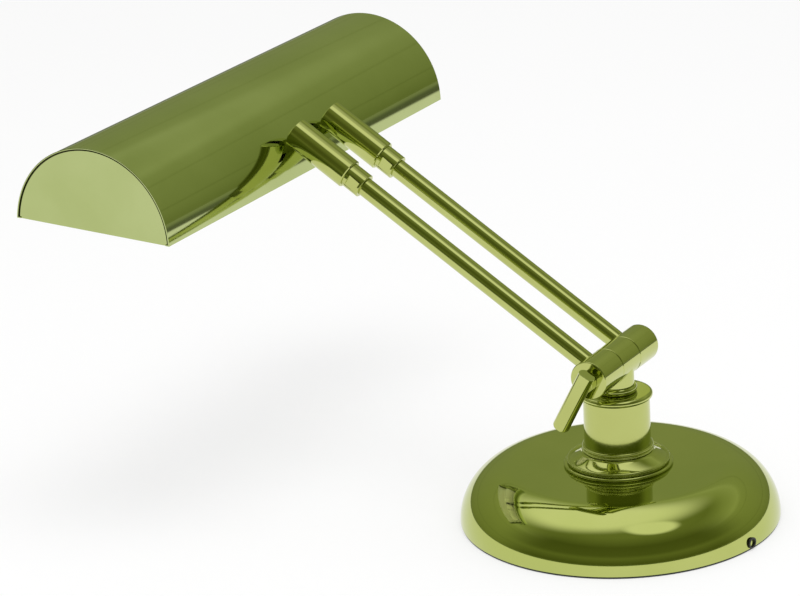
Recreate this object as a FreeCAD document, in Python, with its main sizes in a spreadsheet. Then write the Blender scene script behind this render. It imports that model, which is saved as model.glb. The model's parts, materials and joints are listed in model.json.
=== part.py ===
"""Twin-arm brass piano lamp, built piece by piece in millimetres.

The origin is the centre of the base on the table, +Z is up, the shade is in
front (towards -Y) and the hinge lines run along X.
"""
import math
import os

import FreeCAD
import Part
import Sketcher

from FreeCAD import Placement, Rotation, Vector

doc = FreeCAD.newDocument("PianoLamp")
sheet = doc.addObject("Spreadsheet::Sheet", "Sizes")
X_AXIS, Y_AXIS, Z_AXIS = Vector(1, 0, 0), Vector(0, 1, 0), Vector(0, 0, 1)
NEAR, FAR = 1, -1
SIDES = (("near", NEAR), ("far", FAR))


class Size:
    """A number together with the sheet formula that gives it."""

    def __init__(self, value, text):
        self.value = value
        self.text = text

    def _with(self, other, sign, value):
        text = other.text if isinstance(other, Size) else repr(float(other))
        return Size(value, f"({self.text} {sign} {text})")

    def __add__(self, other):
        return self._with(other, "+", self.value + number(other))

    def __sub__(self, other):
        return self._with(other, "-", self.value - number(other))

    def __mul__(self, other):
        return self._with(other, "*", self.value * number(other))

    def __truediv__(self, other):
        return self._with(other, "/", self.value / number(other))

    def __neg__(self):
        return Size(-self.value, f"(0 - {self.text})")

    def __radd__(self, other):
        return Size(float(other), repr(float(other))) + self

    def __rsub__(self, other):
        return Size(float(other), repr(float(other))) - self

    def __rmul__(self, other):
        return self * other


def number(size):
    """The plain number of a Size or of a number."""
    return size.value if isinstance(size, Size) else float(size)


def cosine(angle):
    return Size(math.cos(math.radians(number(angle))), f"cos({angle.text} * 1deg)")


def sine(angle):
    return Size(math.sin(math.radians(number(angle))), f"sin({angle.text} * 1deg)")


def root(square):
    return Size(math.sqrt(number(square)), f"sqrt({square.text})")


row_count = 0


def size(alias, value):
    """Write one driving dimension into the sheet and give it back as a Size."""
    global row_count
    row_count += 1
    sheet.set(f"A{row_count}", alias)
    sheet.set(f"B{row_count}", str(value))
    sheet.setAlias(f"B{row_count}", alias)
    return Size(float(value), f"Sizes.{alias}")


# Clearances
seat_gap = size("seat_gap", 0.05)        # fixed pin or tube in its hole, radial
run_gap = size("run_gap", 0.05)          # turning shaft in its hole, radial
face_gap = size("face_gap", 0.3)         # faces of two pieces that turn past each other
cut_over = size("cut_over", 1.0)         # how far a cutter reaches past the face it opens

# Base
base_radius = size("base_radius", 105.7)
base_height = size("base_height", 37.5)
shoulder_radius = size("shoulder_radius", 36.0)
shell_wall = size("shell_wall", 1.2)
pad_thick = size("pad_thick", 1.2)
pad_inset = size("pad_inset", 0.5)
weight_margin = size("weight_margin", 20.7)
weight_thick = size("weight_thick", 13.8)
boss_radius = size("boss_radius", 28.0)
pocket_radius = size("pocket_radius", 17.0)
pocket_depth = size("pocket_depth", 10.8)
nipple_radius = size("nipple_radius", 5.0)
nipple_bore = size("nipple_bore", 3.6)
washer_radius = size("washer_radius", 15.0)
washer_thick = size("washer_thick", 1.5)
nut_width = size("nut_width", 17.0)
nut_thick = size("nut_thick", 5.0)
nut_tail = size("nut_tail", 1.5)
gland_height = size("gland_height", 5.0)
gland_angle = size("gland_angle", 79.0)
gland_radius = size("gland_radius", 3.2)
gland_head = size("gland_head", 3.7)
gland_bore = size("gland_bore", 2.6)
gland_length = size("gland_length", 9.0)
gland_proud = size("gland_proud", 1.0)
weight_radius = base_radius - weight_margin

# Post
foot_radius = size("foot_radius", 36.0)
foot_thick = size("foot_thick", 2.4)
plate_radius = size("plate_radius", 34.0)
plate_edge = size("plate_edge", 2.6)
plate_rise = size("plate_rise", 4.9)
plate_lip = size("plate_lip", 0.6)
dish_inset = size("dish_inset", 1.0)
dish_rise = size("dish_rise", 0.4)
flange_seat = size("flange_seat", 1.0)
bead_radius = size("bead_radius", 23.6)
bead_height = size("bead_height", 4.5)
bead_bulge = size("bead_bulge", 1.35)
bead_waist = size("bead_waist", 0.6)
post_radius = size("post_radius", 21.9)
post_wall = size("post_wall", 1.6)
post_height = size("post_height", 36.4)
cap_radius = size("cap_radius", 24.0)
cap_thick = size("cap_thick", 4.4)
cap_round = size("cap_round", 1.9)
spigot_depth = size("spigot_depth", 7.0)

# Swivel
shank_radius = size("shank_radius", 9.0)
collar_radius = size("collar_radius", 14.0)
collar_height = size("collar_height", 4.5)
collar_chamfer = size("collar_chamfer", 0.7)
neck_radius = size("neck_radius", 12.2)
clip_radius = size("clip_radius", 14.0)
clip_thick = size("clip_thick", 2.0)
ring_nut_radius = size("ring_nut_radius", 13.0)
ring_nut_thick = size("ring_nut_thick", 5.0)
ring_slot_width = size("ring_slot_width", 3.0)
ring_slot_depth = size("ring_slot_depth", 2.0)
shank_tail = size("shank_tail", 1.5)

# Barrel and clamp
barrel_radius = size("barrel_radius", 12.7)
barrel_rise = size("barrel_rise", 15.3)
barrel_length = size("barrel_length", 78.0)
middle_length = size("middle_length", 25.0)
seam_chamfer = size("seam_chamfer", 0.4)
disc_radius = size("disc_radius", 9.4)
disc_thick = size("disc_thick", 1.0)
stud_radius = size("stud_radius", 4.0)
stud_end_wall = size("stud_end_wall", 9.0)
stud_end_gap = size("stud_end_gap", 1.0)
lever_radius = size("lever_radius", 5.6)
lever_flat = size("lever_flat", 4.35)
lever_gap = size("lever_gap", 3.6)
lever_top = size("lever_top", 8.6)
lever_drop = size("lever_drop", 36.0)
lever_lean = size("lever_lean", 28.0)
lever_round = size("lever_round", 2.4)
stem_radius = size("stem_radius", 6.2)

# Arms
arm_spread = size("arm_spread", 22.0)
arm_angle = size("arm_angle", 32.6)
tube_radius = size("tube_radius", 6.35)
tube_wall = size("tube_wall", 1.0)
tube_start = size("tube_start", 7.2)
ferrule_start = size("ferrule_start", 200.4)
ferrule_wall = size("ferrule_wall", 2.15)
ferrule_chamfer = size("ferrule_chamfer", 0.4)
ferrule_length = size("ferrule_length", 13.2)
ferrule_rim = size("ferrule_rim", 1.8)
wrench_length = size("wrench_length", 8.6)
wrench_cut = size("wrench_cut", 1.1)
spigot_wall = size("spigot_wall", 1.05)
spigot_length = size("spigot_length", 14.0)
spigot_stop = size("spigot_stop", 1.0)
sleeve_wall = size("sleeve_wall", 2.8)
sleeve_length = size("sleeve_length", 47.4)
sleeve_chamfer = size("sleeve_chamfer", 0.7)
wire_radius = size("wire_radius", 3.2)
ferrule_radius = tube_radius + ferrule_wall
wrench_width = (ferrule_radius - wrench_cut) * 2
spigot_radius = tube_radius + spigot_wall
sleeve_radius = spigot_radius + sleeve_wall

# Tilt hinge between the sleeves and the shade
pin_setback = size("pin_setback", 8.5)
pin_radius = size("pin_radius", 2.0)
pin_skin = size("pin_skin", 1.6)
pin_flush = size("pin_flush", 0.6)
slot_width = size("slot_width", 6.6)
slot_back = size("slot_back", 7.2)
slot_roof = size("slot_roof", 3.7)
lug_radius = size("lug_radius", 5.4)
lug_width = size("lug_width", 9.0)
pin_standoff = size("pin_standoff", 14.0)
lug_angle = size("lug_angle", 25.3)
lug_stud = size("lug_stud", 3.0)
lug_nut_width = size("lug_nut_width", 10.0)
lug_nut_thick = size("lug_nut_thick", 4.0)
lug_tail = size("lug_tail", 1.2)

# Shade
shade_radius = size("shade_radius", 58.5)
shade_length = size("shade_length", 355.6)
shade_wall = size("shade_wall", 0.9)
shade_tilt = size("shade_tilt", -3.2)
mouth_offset = size("mouth_offset", 2.9)
end_thick = size("end_thick", 1.0)
end_inset = size("end_inset", 0.7)
end_groove = size("end_groove", 0.6)
end_lip = size("end_lip", 6.0)

# Lamp holder, bulbs and switch
holder_rise = size("holder_rise", 26.0)
bracket_thick = size("bracket_thick", 1.5)
bracket_width = size("bracket_width", 16.0)
bracket_half = size("bracket_half", 32.0)
bracket_relief = size("bracket_relief", 0.4)
ear_place = size("ear_place", 11.0)
ear_half = size("ear_half", 12.0)
ear_height = size("ear_height", 19.2)
tray_margin = size("tray_margin", 2.0)
tray_bite = size("tray_bite", 0.5)
socket_radius = size("socket_radius", 17.0)
socket_length = size("socket_length", 36.0)
socket_wall = size("socket_wall", 3.2)
socket_floor = size("socket_floor", 9.0)
socket_chamfer = size("socket_chamfer", 1.5)
cap_shell_radius = size("cap_shell_radius", 13.0)
cap_shell_wall = size("cap_shell_wall", 0.8)
cap_seat = size("cap_seat", 0.2)
contact_hole = size("contact_hole", 2.2)
contact_radius = size("contact_radius", 5.2)
cap_taper = size("cap_taper", 4.0)
contact_inner = size("contact_inner", 2.0)
cap_taper_inner = size("cap_taper_inner", 5.0)
bulb_radius = size("bulb_radius", 16.0)
bulb_length = size("bulb_length", 108.0)
bulb_wall = size("bulb_wall", 0.8)
bulb_shoulder = size("bulb_shoulder", 8.0)
bulb_neck = size("bulb_neck", 11.0)
bulb_step = size("bulb_step", 0.4)
switch_place = size("switch_place", 12.0)
switch_radius = size("switch_radius", 9.0)
switch_height = size("switch_height", 14.0)
switch_level = size("switch_level", 18.0)
bushing_radius = size("bushing_radius", 4.4)
bushing_length = size("bushing_length", 4.4)
switch_nut_width = size("switch_nut_width", 12.0)
switch_nut_thick = size("switch_nut_thick", 2.4)
spindle_radius = size("spindle_radius", 2.6)
spindle_length = size("spindle_length", 3.6)
knob_radius = size("knob_radius", 8.0)
knob_height = size("knob_height", 8.6)
knob_round = size("knob_round", 1.0)
spindle_bite = size("spindle_bite", 0.5)

doc.recompute()

# Levels of the post, from the table up
plate_level = base_height + foot_thick
slope_level = plate_level + plate_edge
bead_level = slope_level + plate_rise
cap_level = bead_level + post_height
cap_top = cap_level + cap_thick
collar_level = cap_top + face_gap
neck_level = collar_level + collar_height
barrel_level = neck_level + barrel_rise
under_cap = cap_level - spigot_depth

# The arm frame runs along the arms from the barrel's axis
sleeve_start = ferrule_start + ferrule_length
sleeve_end = sleeve_start + sleeve_length
pin_reach = sleeve_end - pin_setback
arm_turn = 90 - arm_angle
pin_y = -(pin_reach * cosine(arm_angle))
pin_z = barrel_level + pin_reach * sine(arm_angle)

# The shade frame has its centre on the axis of the shade's half round
lug_world_angle = lug_angle + shade_tilt
centre_reach = shade_radius + pin_standoff
shade_y = pin_y - centre_reach * cosine(lug_world_angle)
shade_z = pin_z - centre_reach * sine(lug_world_angle)
shade_inner = shade_radius - shade_wall


def bind(obj, **sizes):
    """Give properties their number and their formula."""
    for name, value in sizes.items():
        setattr(obj, name, number(value))
        if isinstance(value, Size):
            obj.setExpression(name, value.text)
    return obj


def place(obj, x=0, y=0, z=0, turn=0, axis=X_AXIS):
    """Move a piece to x, y, z after a turn about one axis, all bound to the sheet."""
    obj.Placement = Placement(Vector(number(x), number(y), number(z)),
                              Rotation(axis, number(turn)))
    for name, value in (("x", x), ("y", y), ("z", z)):
        if isinstance(value, Size):
            obj.setExpression(f"Placement.Base.{name}", value.text)
    if isinstance(turn, Size):
        obj.setExpression("Placement.Rotation.Angle", turn.text)
    return obj


def cylinder(name, radius, height, x=0, y=0, z=0, turn=0, axis=X_AXIS):
    obj = doc.addObject("Part::Cylinder", name)
    bind(obj, Radius=radius, Height=height)
    return place(obj, x, y, z, turn, axis)


def rod(name, radius, length, x, y=0, z=0):
    """A cylinder along +X that starts at x."""
    return cylinder(name, radius, length, x, y, z, 90, Y_AXIS)


def box(name, length, width, height, x=0, y=0, z=0, turn=0, axis=X_AXIS):
    obj = doc.addObject("Part::Box", name)
    bind(obj, Length=length, Width=width, Height=height)
    return place(obj, x, y, z, turn, axis)


def hexagon(name, across_flats, height, x=0, y=0, z=0, turn=0, axis=X_AXIS):
    obj = doc.addObject("Part::Prism", name)
    obj.Polygon = 6
    bind(obj, Circumradius=across_flats / root(Size(3.0, "3")), Height=height)
    return place(obj, x, y, z, turn, axis)


def fuse(name, *shapes):
    obj = doc.addObject("Part::MultiFuse", name)
    obj.Shapes = list(shapes)
    obj.Refine = True
    return obj


def cut(name, base, *tools):
    """Take the tools away from the base."""
    obj = doc.addObject("Part::Cut", name)
    obj.Base = base
    obj.Tool = tools[0] if len(tools) == 1 else fuse(name + "_cutters", *tools)
    obj.Refine = True
    return obj


def rounded(name, base, amount, chosen):
    """Fillet the edges of base that chosen(edge) picks."""
    doc.recompute()
    edges = [i + 1 for i, edge in enumerate(base.Shape.Edges) if chosen(edge)]
    obj = doc.addObject("Part::Fillet", name)
    obj.Base = base
    obj.Edges = [(i, number(amount), number(amount)) for i in edges]
    return obj


def bevelled(name, base, amount, chosen):
    """Chamfer the edges of base that chosen(edge) picks."""
    doc.recompute()
    edges = [i + 1 for i, edge in enumerate(base.Shape.Edges) if chosen(edge)]
    obj = doc.addObject("Part::Chamfer", name)
    obj.Base = base
    obj.Edges = [(i, number(amount), number(amount)) for i in edges]
    return obj


def circle_at(radius, axis_index, level):
    """Pick round edges of one radius that lie at one level along an axis."""
    def chosen(edge):
        curve = edge.Curve
        if not isinstance(curve, Part.Circle):
            return False
        same_size = abs(curve.Radius - number(radius)) < 0.01
        return same_size and abs(curve.Center[axis_index] - number(level)) < 0.01
    return chosen


pieces = []


def piece(obj, node):
    """Name a finished sub-part, which is then written out."""
    obj.Label = node
    pieces.append(obj)
    return obj


def body_plane(body, role):
    return next(f for f in body.Origin.OriginFeatures if f.Role == role)


def turned(node, profile):
    """A body turned about Z: profile is a closed loop of (radius, height) corners.

    A corner with a third value starts an arc of that radius, which bulges
    away from the axis.
    """
    body = doc.addObject("PartDesign::Body", node + "_body")
    sketch = body.newObject("Sketcher::SketchObject", node + "_profile")
    sketch.AttachmentSupport = [(body_plane(body, "XZ_Plane"), "")]
    sketch.MapMode = "FlatFace"
    count = len(profile)
    ends = []
    for i, corner in enumerate(profile):
        following = profile[(i + 1) % count]
        start = Vector(number(corner[0]), number(corner[1]), 0)
        end = Vector(number(following[0]), number(following[1]), 0)
        if len(corner) == 3:
            chord = end - start
            bulge = number(corner[2])
            middle = (start + end) * 0.5
            out = Vector(-chord.y, chord.x, 0).normalize()
            if out.x < 0:
                out = out * -1
            depth = math.sqrt(bulge ** 2 - (chord.Length / 2) ** 2)
            top = middle + out * (bulge - depth)
            edge = sketch.addGeometry(Part.Arc(start, top, end), False)
            flipped = sketch.getPoint(edge, 1).distanceToPoint(start) > 1e-6
        else:
            edge = sketch.addGeometry(Part.LineSegment(start, end), False)
            flipped = False
        ends.append((edge, 2 if flipped else 1, 1 if flipped else 2))
    for i, corner in enumerate(profile):
        edge, first, last = ends[i]
        next_edge, next_first, _ = ends[(i + 1) % count]
        sketch.addConstraint(Sketcher.Constraint("Coincident", edge, last, next_edge, next_first))
        limits = [("DistanceX", corner[0]), ("DistanceY", corner[1])]
        for kind, value in limits:
            index = sketch.addConstraint(
                Sketcher.Constraint(kind, -1, 1, edge, first, number(value)))
            if isinstance(value, Size):
                sketch.setExpression(f"Constraints[{index}]", value.text)
        if len(corner) == 3:
            index = sketch.addConstraint(Sketcher.Constraint("Radius", edge, number(corner[2])))
            sketch.setExpression(f"Constraints[{index}]", corner[2].text)
    spin = body.newObject("PartDesign::Revolution", node + "_turned")
    spin.Profile = sketch
    spin.ReferenceAxis = (sketch, ["V_Axis"])
    spin.Angle = 360
    body.Tip = spin
    sketch.Visibility = False
    return body


def washer(node, radius, hole, thickness, level):
    return piece(turned(node, [(hole, level), (radius, level),
                               (radius, level + thickness), (hole, level + thickness)]), node)


# Base: a spun brass shell over a cast weight, closed below by a pad
shell_floor = pad_thick
inner_top = base_height - shell_wall
nipple_hole = nipple_radius + seat_gap
flat_radius = base_radius - shoulder_radius
rim_top = base_height - shoulder_radius

shell = turned("base_shell", [
    (nipple_hole, inner_top),
    (flat_radius, inner_top, shoulder_radius - shell_wall),
    (base_radius - shell_wall, rim_top),
    (base_radius - shell_wall, shell_floor),
    (base_radius, shell_floor),
    (base_radius, rim_top, shoulder_radius),
    (flat_radius, base_height),
    (nipple_hole, base_height),
])
gland_x = base_radius * cosine(gland_angle)
gland_y = base_radius * sine(gland_angle)
gland_reach = gland_length + gland_proud


def along_gland(name, radius, start, length):
    """A cylinder along the gland's radial axis, start measured from the base's centre."""
    tool = cylinder(name, radius, length, axis=Y_AXIS)
    tool.Placement = Placement(Vector(), Rotation(Z_AXIS, number(gland_angle)))
    tool.Placement = tool.Placement.multiply(
        Placement(Vector(number(start), 0, number(gland_height)), Rotation(Y_AXIS, 90)))
    turn = gland_angle.text
    tool.setExpression("Placement.Base.x", f"{start.text} * cos({turn} * 1deg)")
    tool.setExpression("Placement.Base.y", f"{start.text} * sin({turn} * 1deg)")
    tool.setExpression("Placement.Base.z", gland_height.text)
    return tool


gland_start = base_radius - gland_length
gland_end = base_radius + gland_proud
shell_hole = along_gland("gland_hole", gland_radius + seat_gap, gland_start, gland_reach)
piece(cut("base_shell_part", shell, shell_hole), "base_shell")

head_start = base_radius + seat_gap
gland_blank = fuse(
    "gland_blank",
    along_gland("gland_barrel", gland_radius, gland_start, gland_reach),
    along_gland("gland_flange", gland_head, head_start, gland_proud - seat_gap))
gland_way = along_gland("gland_way", gland_bore, gland_start - cut_over, gland_reach + cut_over * 2)
piece(cut("cord_bushing_part", gland_blank, gland_way), "cord_bushing")

piece(cylinder("pad_disc", base_radius - pad_inset, pad_thick), "base_pad")

pocket_roof = shell_floor + pocket_depth
piece(turned("base_weight", [
    (nipple_hole, pocket_roof),
    (pocket_radius, pocket_roof),
    (pocket_radius, shell_floor),
    (weight_radius, shell_floor),
    (weight_radius, shell_floor + weight_thick),
    (boss_radius, shell_floor + weight_thick),
    (boss_radius, inner_top),
    (nipple_hole, inner_top),
]), "base_weight")

washer_level = pocket_roof - washer_thick
washer("base_washer", washer_radius, nipple_hole, washer_thick, washer_level)


def nut(node, width, thickness, hole, level):
    blank = hexagon(node + "_blank", width, thickness, z=level)
    bore = cylinder(node + "_bore", hole, thickness + cut_over * 2, z=level - cut_over)
    return piece(cut(node + "_part", blank, bore), node)


nut_level = washer_level - nut_thick
nut("base_nut", nut_width, nut_thick, nipple_hole, nut_level)

# Post: a turned flange, a bead, a straight tube and a cap with the swivel's bearing
post_inner = post_radius - post_wall
nipple_start = nut_level - nut_tail
nipple_end = plate_level + nut_thick + nut_tail
nipple_length = nipple_end - nipple_start
nipple_blank = cylinder("nipple_blank", nipple_radius, nipple_length, z=nipple_start)
nipple_way = cylinder("nipple_way", nipple_bore, nipple_length + cut_over * 2,
                      z=nipple_start - cut_over)
piece(cut("threaded_nipple_part", nipple_blank, nipple_way), "threaded_nipple")
nut("lock_nut", nut_width, nut_thick, nipple_hole, plate_level)

flange_bore = post_inner - flange_seat
piece(turned("base_flange", [
    (nipple_hole, base_height),
    (foot_radius, base_height),
    (foot_radius, plate_level),
    (plate_radius, plate_level + plate_lip),
    (plate_radius, slope_level),
    (plate_radius - dish_inset, slope_level + dish_rise),
    (bead_radius, bead_level),
    (flange_bore, bead_level),
    (flange_bore, plate_level),
    (nipple_hole, plate_level),
]), "base_flange")

bead_half = bead_height / 2
bead_edge = bead_radius - bead_waist
piece(turned("post_ring", [
    (post_radius + seat_gap, bead_level),
    (bead_edge, bead_level, bead_bulge),
    (bead_edge, bead_level + bead_half, bead_bulge),
    (bead_edge, bead_level + bead_height),
    (post_radius + seat_gap, bead_level + bead_height),
]), "post_ring")

piece(turned("post_tube", [
    (post_inner, bead_level),
    (post_radius, bead_level),
    (post_radius, cap_level),
    (post_inner, cap_level),
]), "post_tube")

shank_hole = shank_radius + run_gap
cap_blank = turned("post_cap", [
    (shank_hole, under_cap),
    (post_inner - seat_gap, under_cap),
    (post_inner - seat_gap, cap_level),
    (cap_radius, cap_level),
    (cap_radius, cap_top),
    (shank_hole, cap_top),
])
rim_picks = [circle_at(cap_radius, 2, cap_level), circle_at(cap_radius, 2, cap_top)]
piece(rounded("post_cap_part", cap_blank, cap_round,
              lambda edge: any(pick(edge) for pick in rim_picks)), "post_cap")

# Swivel: collar, neck and middle knuckle turn in the cap on a hollow shank
clip_level = under_cap - face_gap - clip_thick
ring_level = clip_level - ring_nut_thick
shank_start = ring_level - shank_tail
piece(turned("swivel_collar", [
    (shank_radius + seat_gap, collar_level),
    (collar_radius - collar_chamfer, collar_level),
    (collar_radius, collar_level + collar_chamfer),
    (collar_radius, neck_level - collar_chamfer),
    (collar_radius - collar_chamfer, neck_level),
    (shank_radius + seat_gap, neck_level),
]), "swivel_collar")
washer("swivel_washer", clip_radius, shank_radius + seat_gap, clip_thick, clip_level)

ring_blank = turned("swivel_nut", [
    (shank_radius + seat_gap, ring_level),
    (ring_nut_radius, ring_level),
    (ring_nut_radius, clip_level),
    (shank_radius + seat_gap, clip_level),
])
slot_reach = ring_nut_radius + cut_over
ring_slot = box("ring_slot", slot_reach * 2, ring_slot_width, ring_slot_depth * 2,
                x=-slot_reach, y=-(ring_slot_width / 2),
                z=ring_level - ring_slot_depth)
piece(cut("swivel_nut_part", ring_blank, ring_slot), "swivel_nut")

stud_hole = stud_radius + run_gap
half_middle = middle_length / 2
middle_face = half_middle - face_gap / 2
knuckle_face = half_middle + face_gap / 2
barrel_half = barrel_length / 2
seam_pick = [circle_at(barrel_radius, 0, middle_face), circle_at(barrel_radius, 0, -middle_face)]
middle_barrel = bevelled(
    "middle_barrel", rod("middle_rod", barrel_radius, middle_face * 2, -middle_face,
                         z=barrel_level),
    seam_chamfer, lambda edge: any(pick(edge) for pick in seam_pick))
middle_blank = fuse(
    "middle_blank",
    middle_barrel,
    cylinder("neck", neck_radius, barrel_rise, z=neck_level),
    cylinder("shank", shank_radius, neck_level - shank_start, z=shank_start))
bore_reach = half_middle + cut_over
middle_bore = rod("middle_bore", stud_hole, bore_reach * 2, -bore_reach, z=barrel_level)
wire_drop = cylinder("wire_drop", wire_radius, barrel_level - shank_start - stud_hole,
                     z=shank_start - cut_over)
piece(cut("center_knuckle_part", middle_blank, middle_bore, wire_drop), "center_knuckle")


# Arms: each has a knuckle, a tube, a ferrule and a sleeve, the same on both sides
def in_arm_frame(obj, side):
    """Put a piece that was built along +Z on its arm."""
    return place(obj, arm_spread * side, 0, barrel_level, arm_turn, X_AXIS)


for word, side in SIDES:
    inner = knuckle_face if side == NEAR else -barrel_half
    span = barrel_half - knuckle_face
    blank = rod(f"{word}_knuckle_blank", barrel_radius, span, inner, z=barrel_level)
    washer_seat = disc_thick + face_gap
    seat_x = knuckle_face - cut_over if side == NEAR else -(knuckle_face + washer_seat)
    seat = rod(f"{word}_disc_seat", disc_radius + seat_gap, washer_seat + cut_over, seat_x,
               z=barrel_level)
    if side == NEAR:
        bore = rod("near_bore", stud_hole, span + cut_over * 2, knuckle_face - cut_over,
                   z=barrel_level)
    else:
        bore = rod("far_bore", stud_hole, span - stud_end_wall + cut_over,
                   -(barrel_half - stud_end_wall), z=barrel_level)
    hole = cylinder(f"{word}_tube_hole", tube_radius, barrel_radius * 2, z=tube_start)
    in_arm_frame(hole, side)
    hole.setExpression("Placement.Base.y", f"-{tube_start.text} * cos({arm_angle.text} * 1deg)")
    hole.setExpression(
        "Placement.Base.z",
        f"{barrel_level.text} + {tube_start.text} * sin({arm_angle.text} * 1deg)")
    knuckle = cut(f"{word}_knuckle_cut", blank, seat, bore, hole)
    outer = barrel_half * side
    face = knuckle_face * side
    picks = [circle_at(barrel_radius, 0, outer), circle_at(barrel_radius, 0, face)]
    piece(bevelled(f"{word}_knuckle_part", knuckle, seam_chamfer,
                   lambda edge, picks=picks: any(pick(edge) for pick in picks)),
          f"{word}_knuckle")

    disc_start = knuckle_face + face_gap
    disc_x = disc_start if side == NEAR else -(disc_start + disc_thick)
    disc = rod(f"{word}_disc", disc_radius, disc_thick, disc_x, z=barrel_level)
    disc_hole = rod(f"{word}_disc_hole", stud_hole, disc_thick + cut_over * 2, disc_x - cut_over,
                    z=barrel_level)
    piece(cut(f"{word}_friction_washer_part", disc, disc_hole), f"{word}_friction_washer")

    tube = turned(f"{word}_tube", [
        (tube_radius - tube_wall, tube_start),
        (tube_radius, tube_start),
        (tube_radius, sleeve_start),
        (tube_radius - tube_wall, sleeve_start),
    ])
    piece(in_arm_frame(tube, side), f"{word}_tube")

    ferrule_blank = turned(f"{word}_ferrule", [
        (tube_radius + seat_gap, ferrule_start),
        (ferrule_radius - ferrule_chamfer, ferrule_start),
        (ferrule_radius, ferrule_start + ferrule_chamfer),
        (ferrule_radius, sleeve_start),
        (spigot_radius, sleeve_start),
        (spigot_radius, sleeve_start + spigot_length),
        (wire_radius, sleeve_start + spigot_length),
        (wire_radius, sleeve_start),
        (tube_radius + seat_gap, sleeve_start),
    ])
    flats = []
    flat_start = ferrule_start + ferrule_rim
    for flat_word, left in (("a", False), ("b", True)):
        flat = box(f"{word}_flat_{flat_word}", ferrule_radius * 2, ferrule_radius * 4,
                   wrench_length)
        half_width = wrench_width / 2
        shift = -(half_width + ferrule_radius * 2) if left else half_width
        place(flat, shift, -(ferrule_radius * 2), flat_start)
        flats.append(flat)
    ferrule = cut(f"{word}_ferrule_part", ferrule_blank, *flats)
    piece(in_arm_frame(ferrule, side), f"{word}_ferrule")

    socket_end = sleeve_start + spigot_length + spigot_stop
    sleeve_blank = turned(f"{word}_sleeve", [
        (spigot_radius + seat_gap, sleeve_start),
        (sleeve_radius - sleeve_chamfer, sleeve_start),
        (sleeve_radius, sleeve_start + sleeve_chamfer),
        (sleeve_radius, sleeve_end - sleeve_chamfer),
        (sleeve_radius - sleeve_chamfer, sleeve_end),
        (wire_radius, sleeve_end),
        (wire_radius, socket_end),
        (spigot_radius + seat_gap, socket_end),
    ])
    slot_height = sleeve_radius * 2 - slot_roof
    slot = box(f"{word}_slot", slot_width, slot_height + cut_over,
               pin_setback + slot_back + cut_over,
               x=-(slot_width / 2), y=-(sleeve_radius + cut_over), z=pin_reach - slot_back)
    blind = sleeve_radius - pin_skin
    pin_hole = rod(f"{word}_pin_hole", pin_radius, blind + sleeve_radius + cut_over,
                   -(sleeve_radius + cut_over), z=pin_reach)
    sleeve = cut(f"{word}_sleeve_part", sleeve_blank, slot, pin_hole)
    piece(in_arm_frame(sleeve, side), f"{word}_sleeve")

# Hinge pins: one in each sleeve, pressed in from the far side, blind on the near side
pins = []
for word, side in SIDES:
    start = arm_spread * side - sleeve_radius + pin_flush
    length = sleeve_radius * 2 - pin_skin - pin_flush
    pins.append(rod(f"{word}_pin", pin_radius, length, start, pin_y, pin_z))
pin_group = doc.addObject("Part::Compound", "hinge_pins_part")
pin_group.Links = pins
piece(pin_group, "hinge_pins")

# Clamp: a threaded stud that the lever turns from the near end of the barrel
lever_x = barrel_half + lever_gap + lever_radius
stud_start = -(barrel_half - stud_end_wall - stud_end_gap)
stud = rod("clamp_stud_rod", stud_radius, lever_x - stud_start, stud_start, z=barrel_level)
piece(stud, "clamp_stud")

lever_rod = cylinder("lever_rod", lever_radius, lever_top + lever_drop, z=-lever_drop)
flat_box = box("lever_front", lever_radius * 2, lever_radius * 4,
               lever_top + lever_drop + cut_over * 2,
               x=lever_flat, y=-(lever_radius * 2), z=-(lever_drop + cut_over))
lever_shaped = cut("lever_flat_cut", lever_rod, flat_box)


def at_lever_bottom(edge):
    return all(abs(vertex.Z + number(lever_drop)) < 0.01 for vertex in edge.Vertexes)


lever_soft = rounded("lever_soft", lever_shaped, lever_round, at_lever_bottom)
stem_length = lever_gap + lever_radius - face_gap
lever_stem = rod("lever_stem", stem_radius, stem_length, -stem_length)
lever_whole = fuse("lever_whole", lever_soft, lever_stem)
socket_reach = stem_length + cut_over
lever_socket = rod("lever_socket", stud_radius, socket_reach, -socket_reach)
lever = cut("clamp_lever_part", lever_whole, lever_socket)
piece(place(lever, lever_x, 0, barrel_level, -lever_lean, X_AXIS), "clamp_lever")


# Shade: a half round shell with inset ends, hung from two lugs
def in_shade_frame(obj, x=0):
    """Put a piece that was built about the half round's centre into the shade."""
    return place(obj, x, shade_y, shade_z, shade_tilt, X_AXIS)


def half_round(name, radius, length, x):
    """A half round solid along X, cut off flat above its centre."""
    whole = rod(f"{name}_round", radius, length, x)
    below = box(f"{name}_below", length + cut_over * 2, radius * 4, radius * 2,
                x=x - cut_over, y=-(radius * 2), z=mouth_offset - radius * 2)
    return cut(name, whole, below)


half_length = shade_length / 2
outer_round = half_round("shade_outer", shade_radius, shade_length, -half_length)
inner_reach = half_length + cut_over
inner_round = rod("shade_inner", shade_inner, inner_reach * 2, -inner_reach)
lug_holes = []
for word, side in SIDES:
    hole = cylinder(f"{word}_lug_hole", lug_stud + seat_gap, shade_wall * 3)
    place(hole, arm_spread * side, 0, 0, lug_angle - 90, X_AXIS)
    reach = shade_radius - shade_wall * 2
    hole.setExpression("Placement.Base.y", f"{reach.text} * cos({lug_angle.text} * 1deg)")
    hole.setExpression("Placement.Base.z", f"{reach.text} * sin({lug_angle.text} * 1deg)")
    lug_holes.append(hole)
shade = cut("shade_shell_part", outer_round, inner_round, *lug_holes)
piece(in_shade_frame(shade), "shade_shell")

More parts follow.
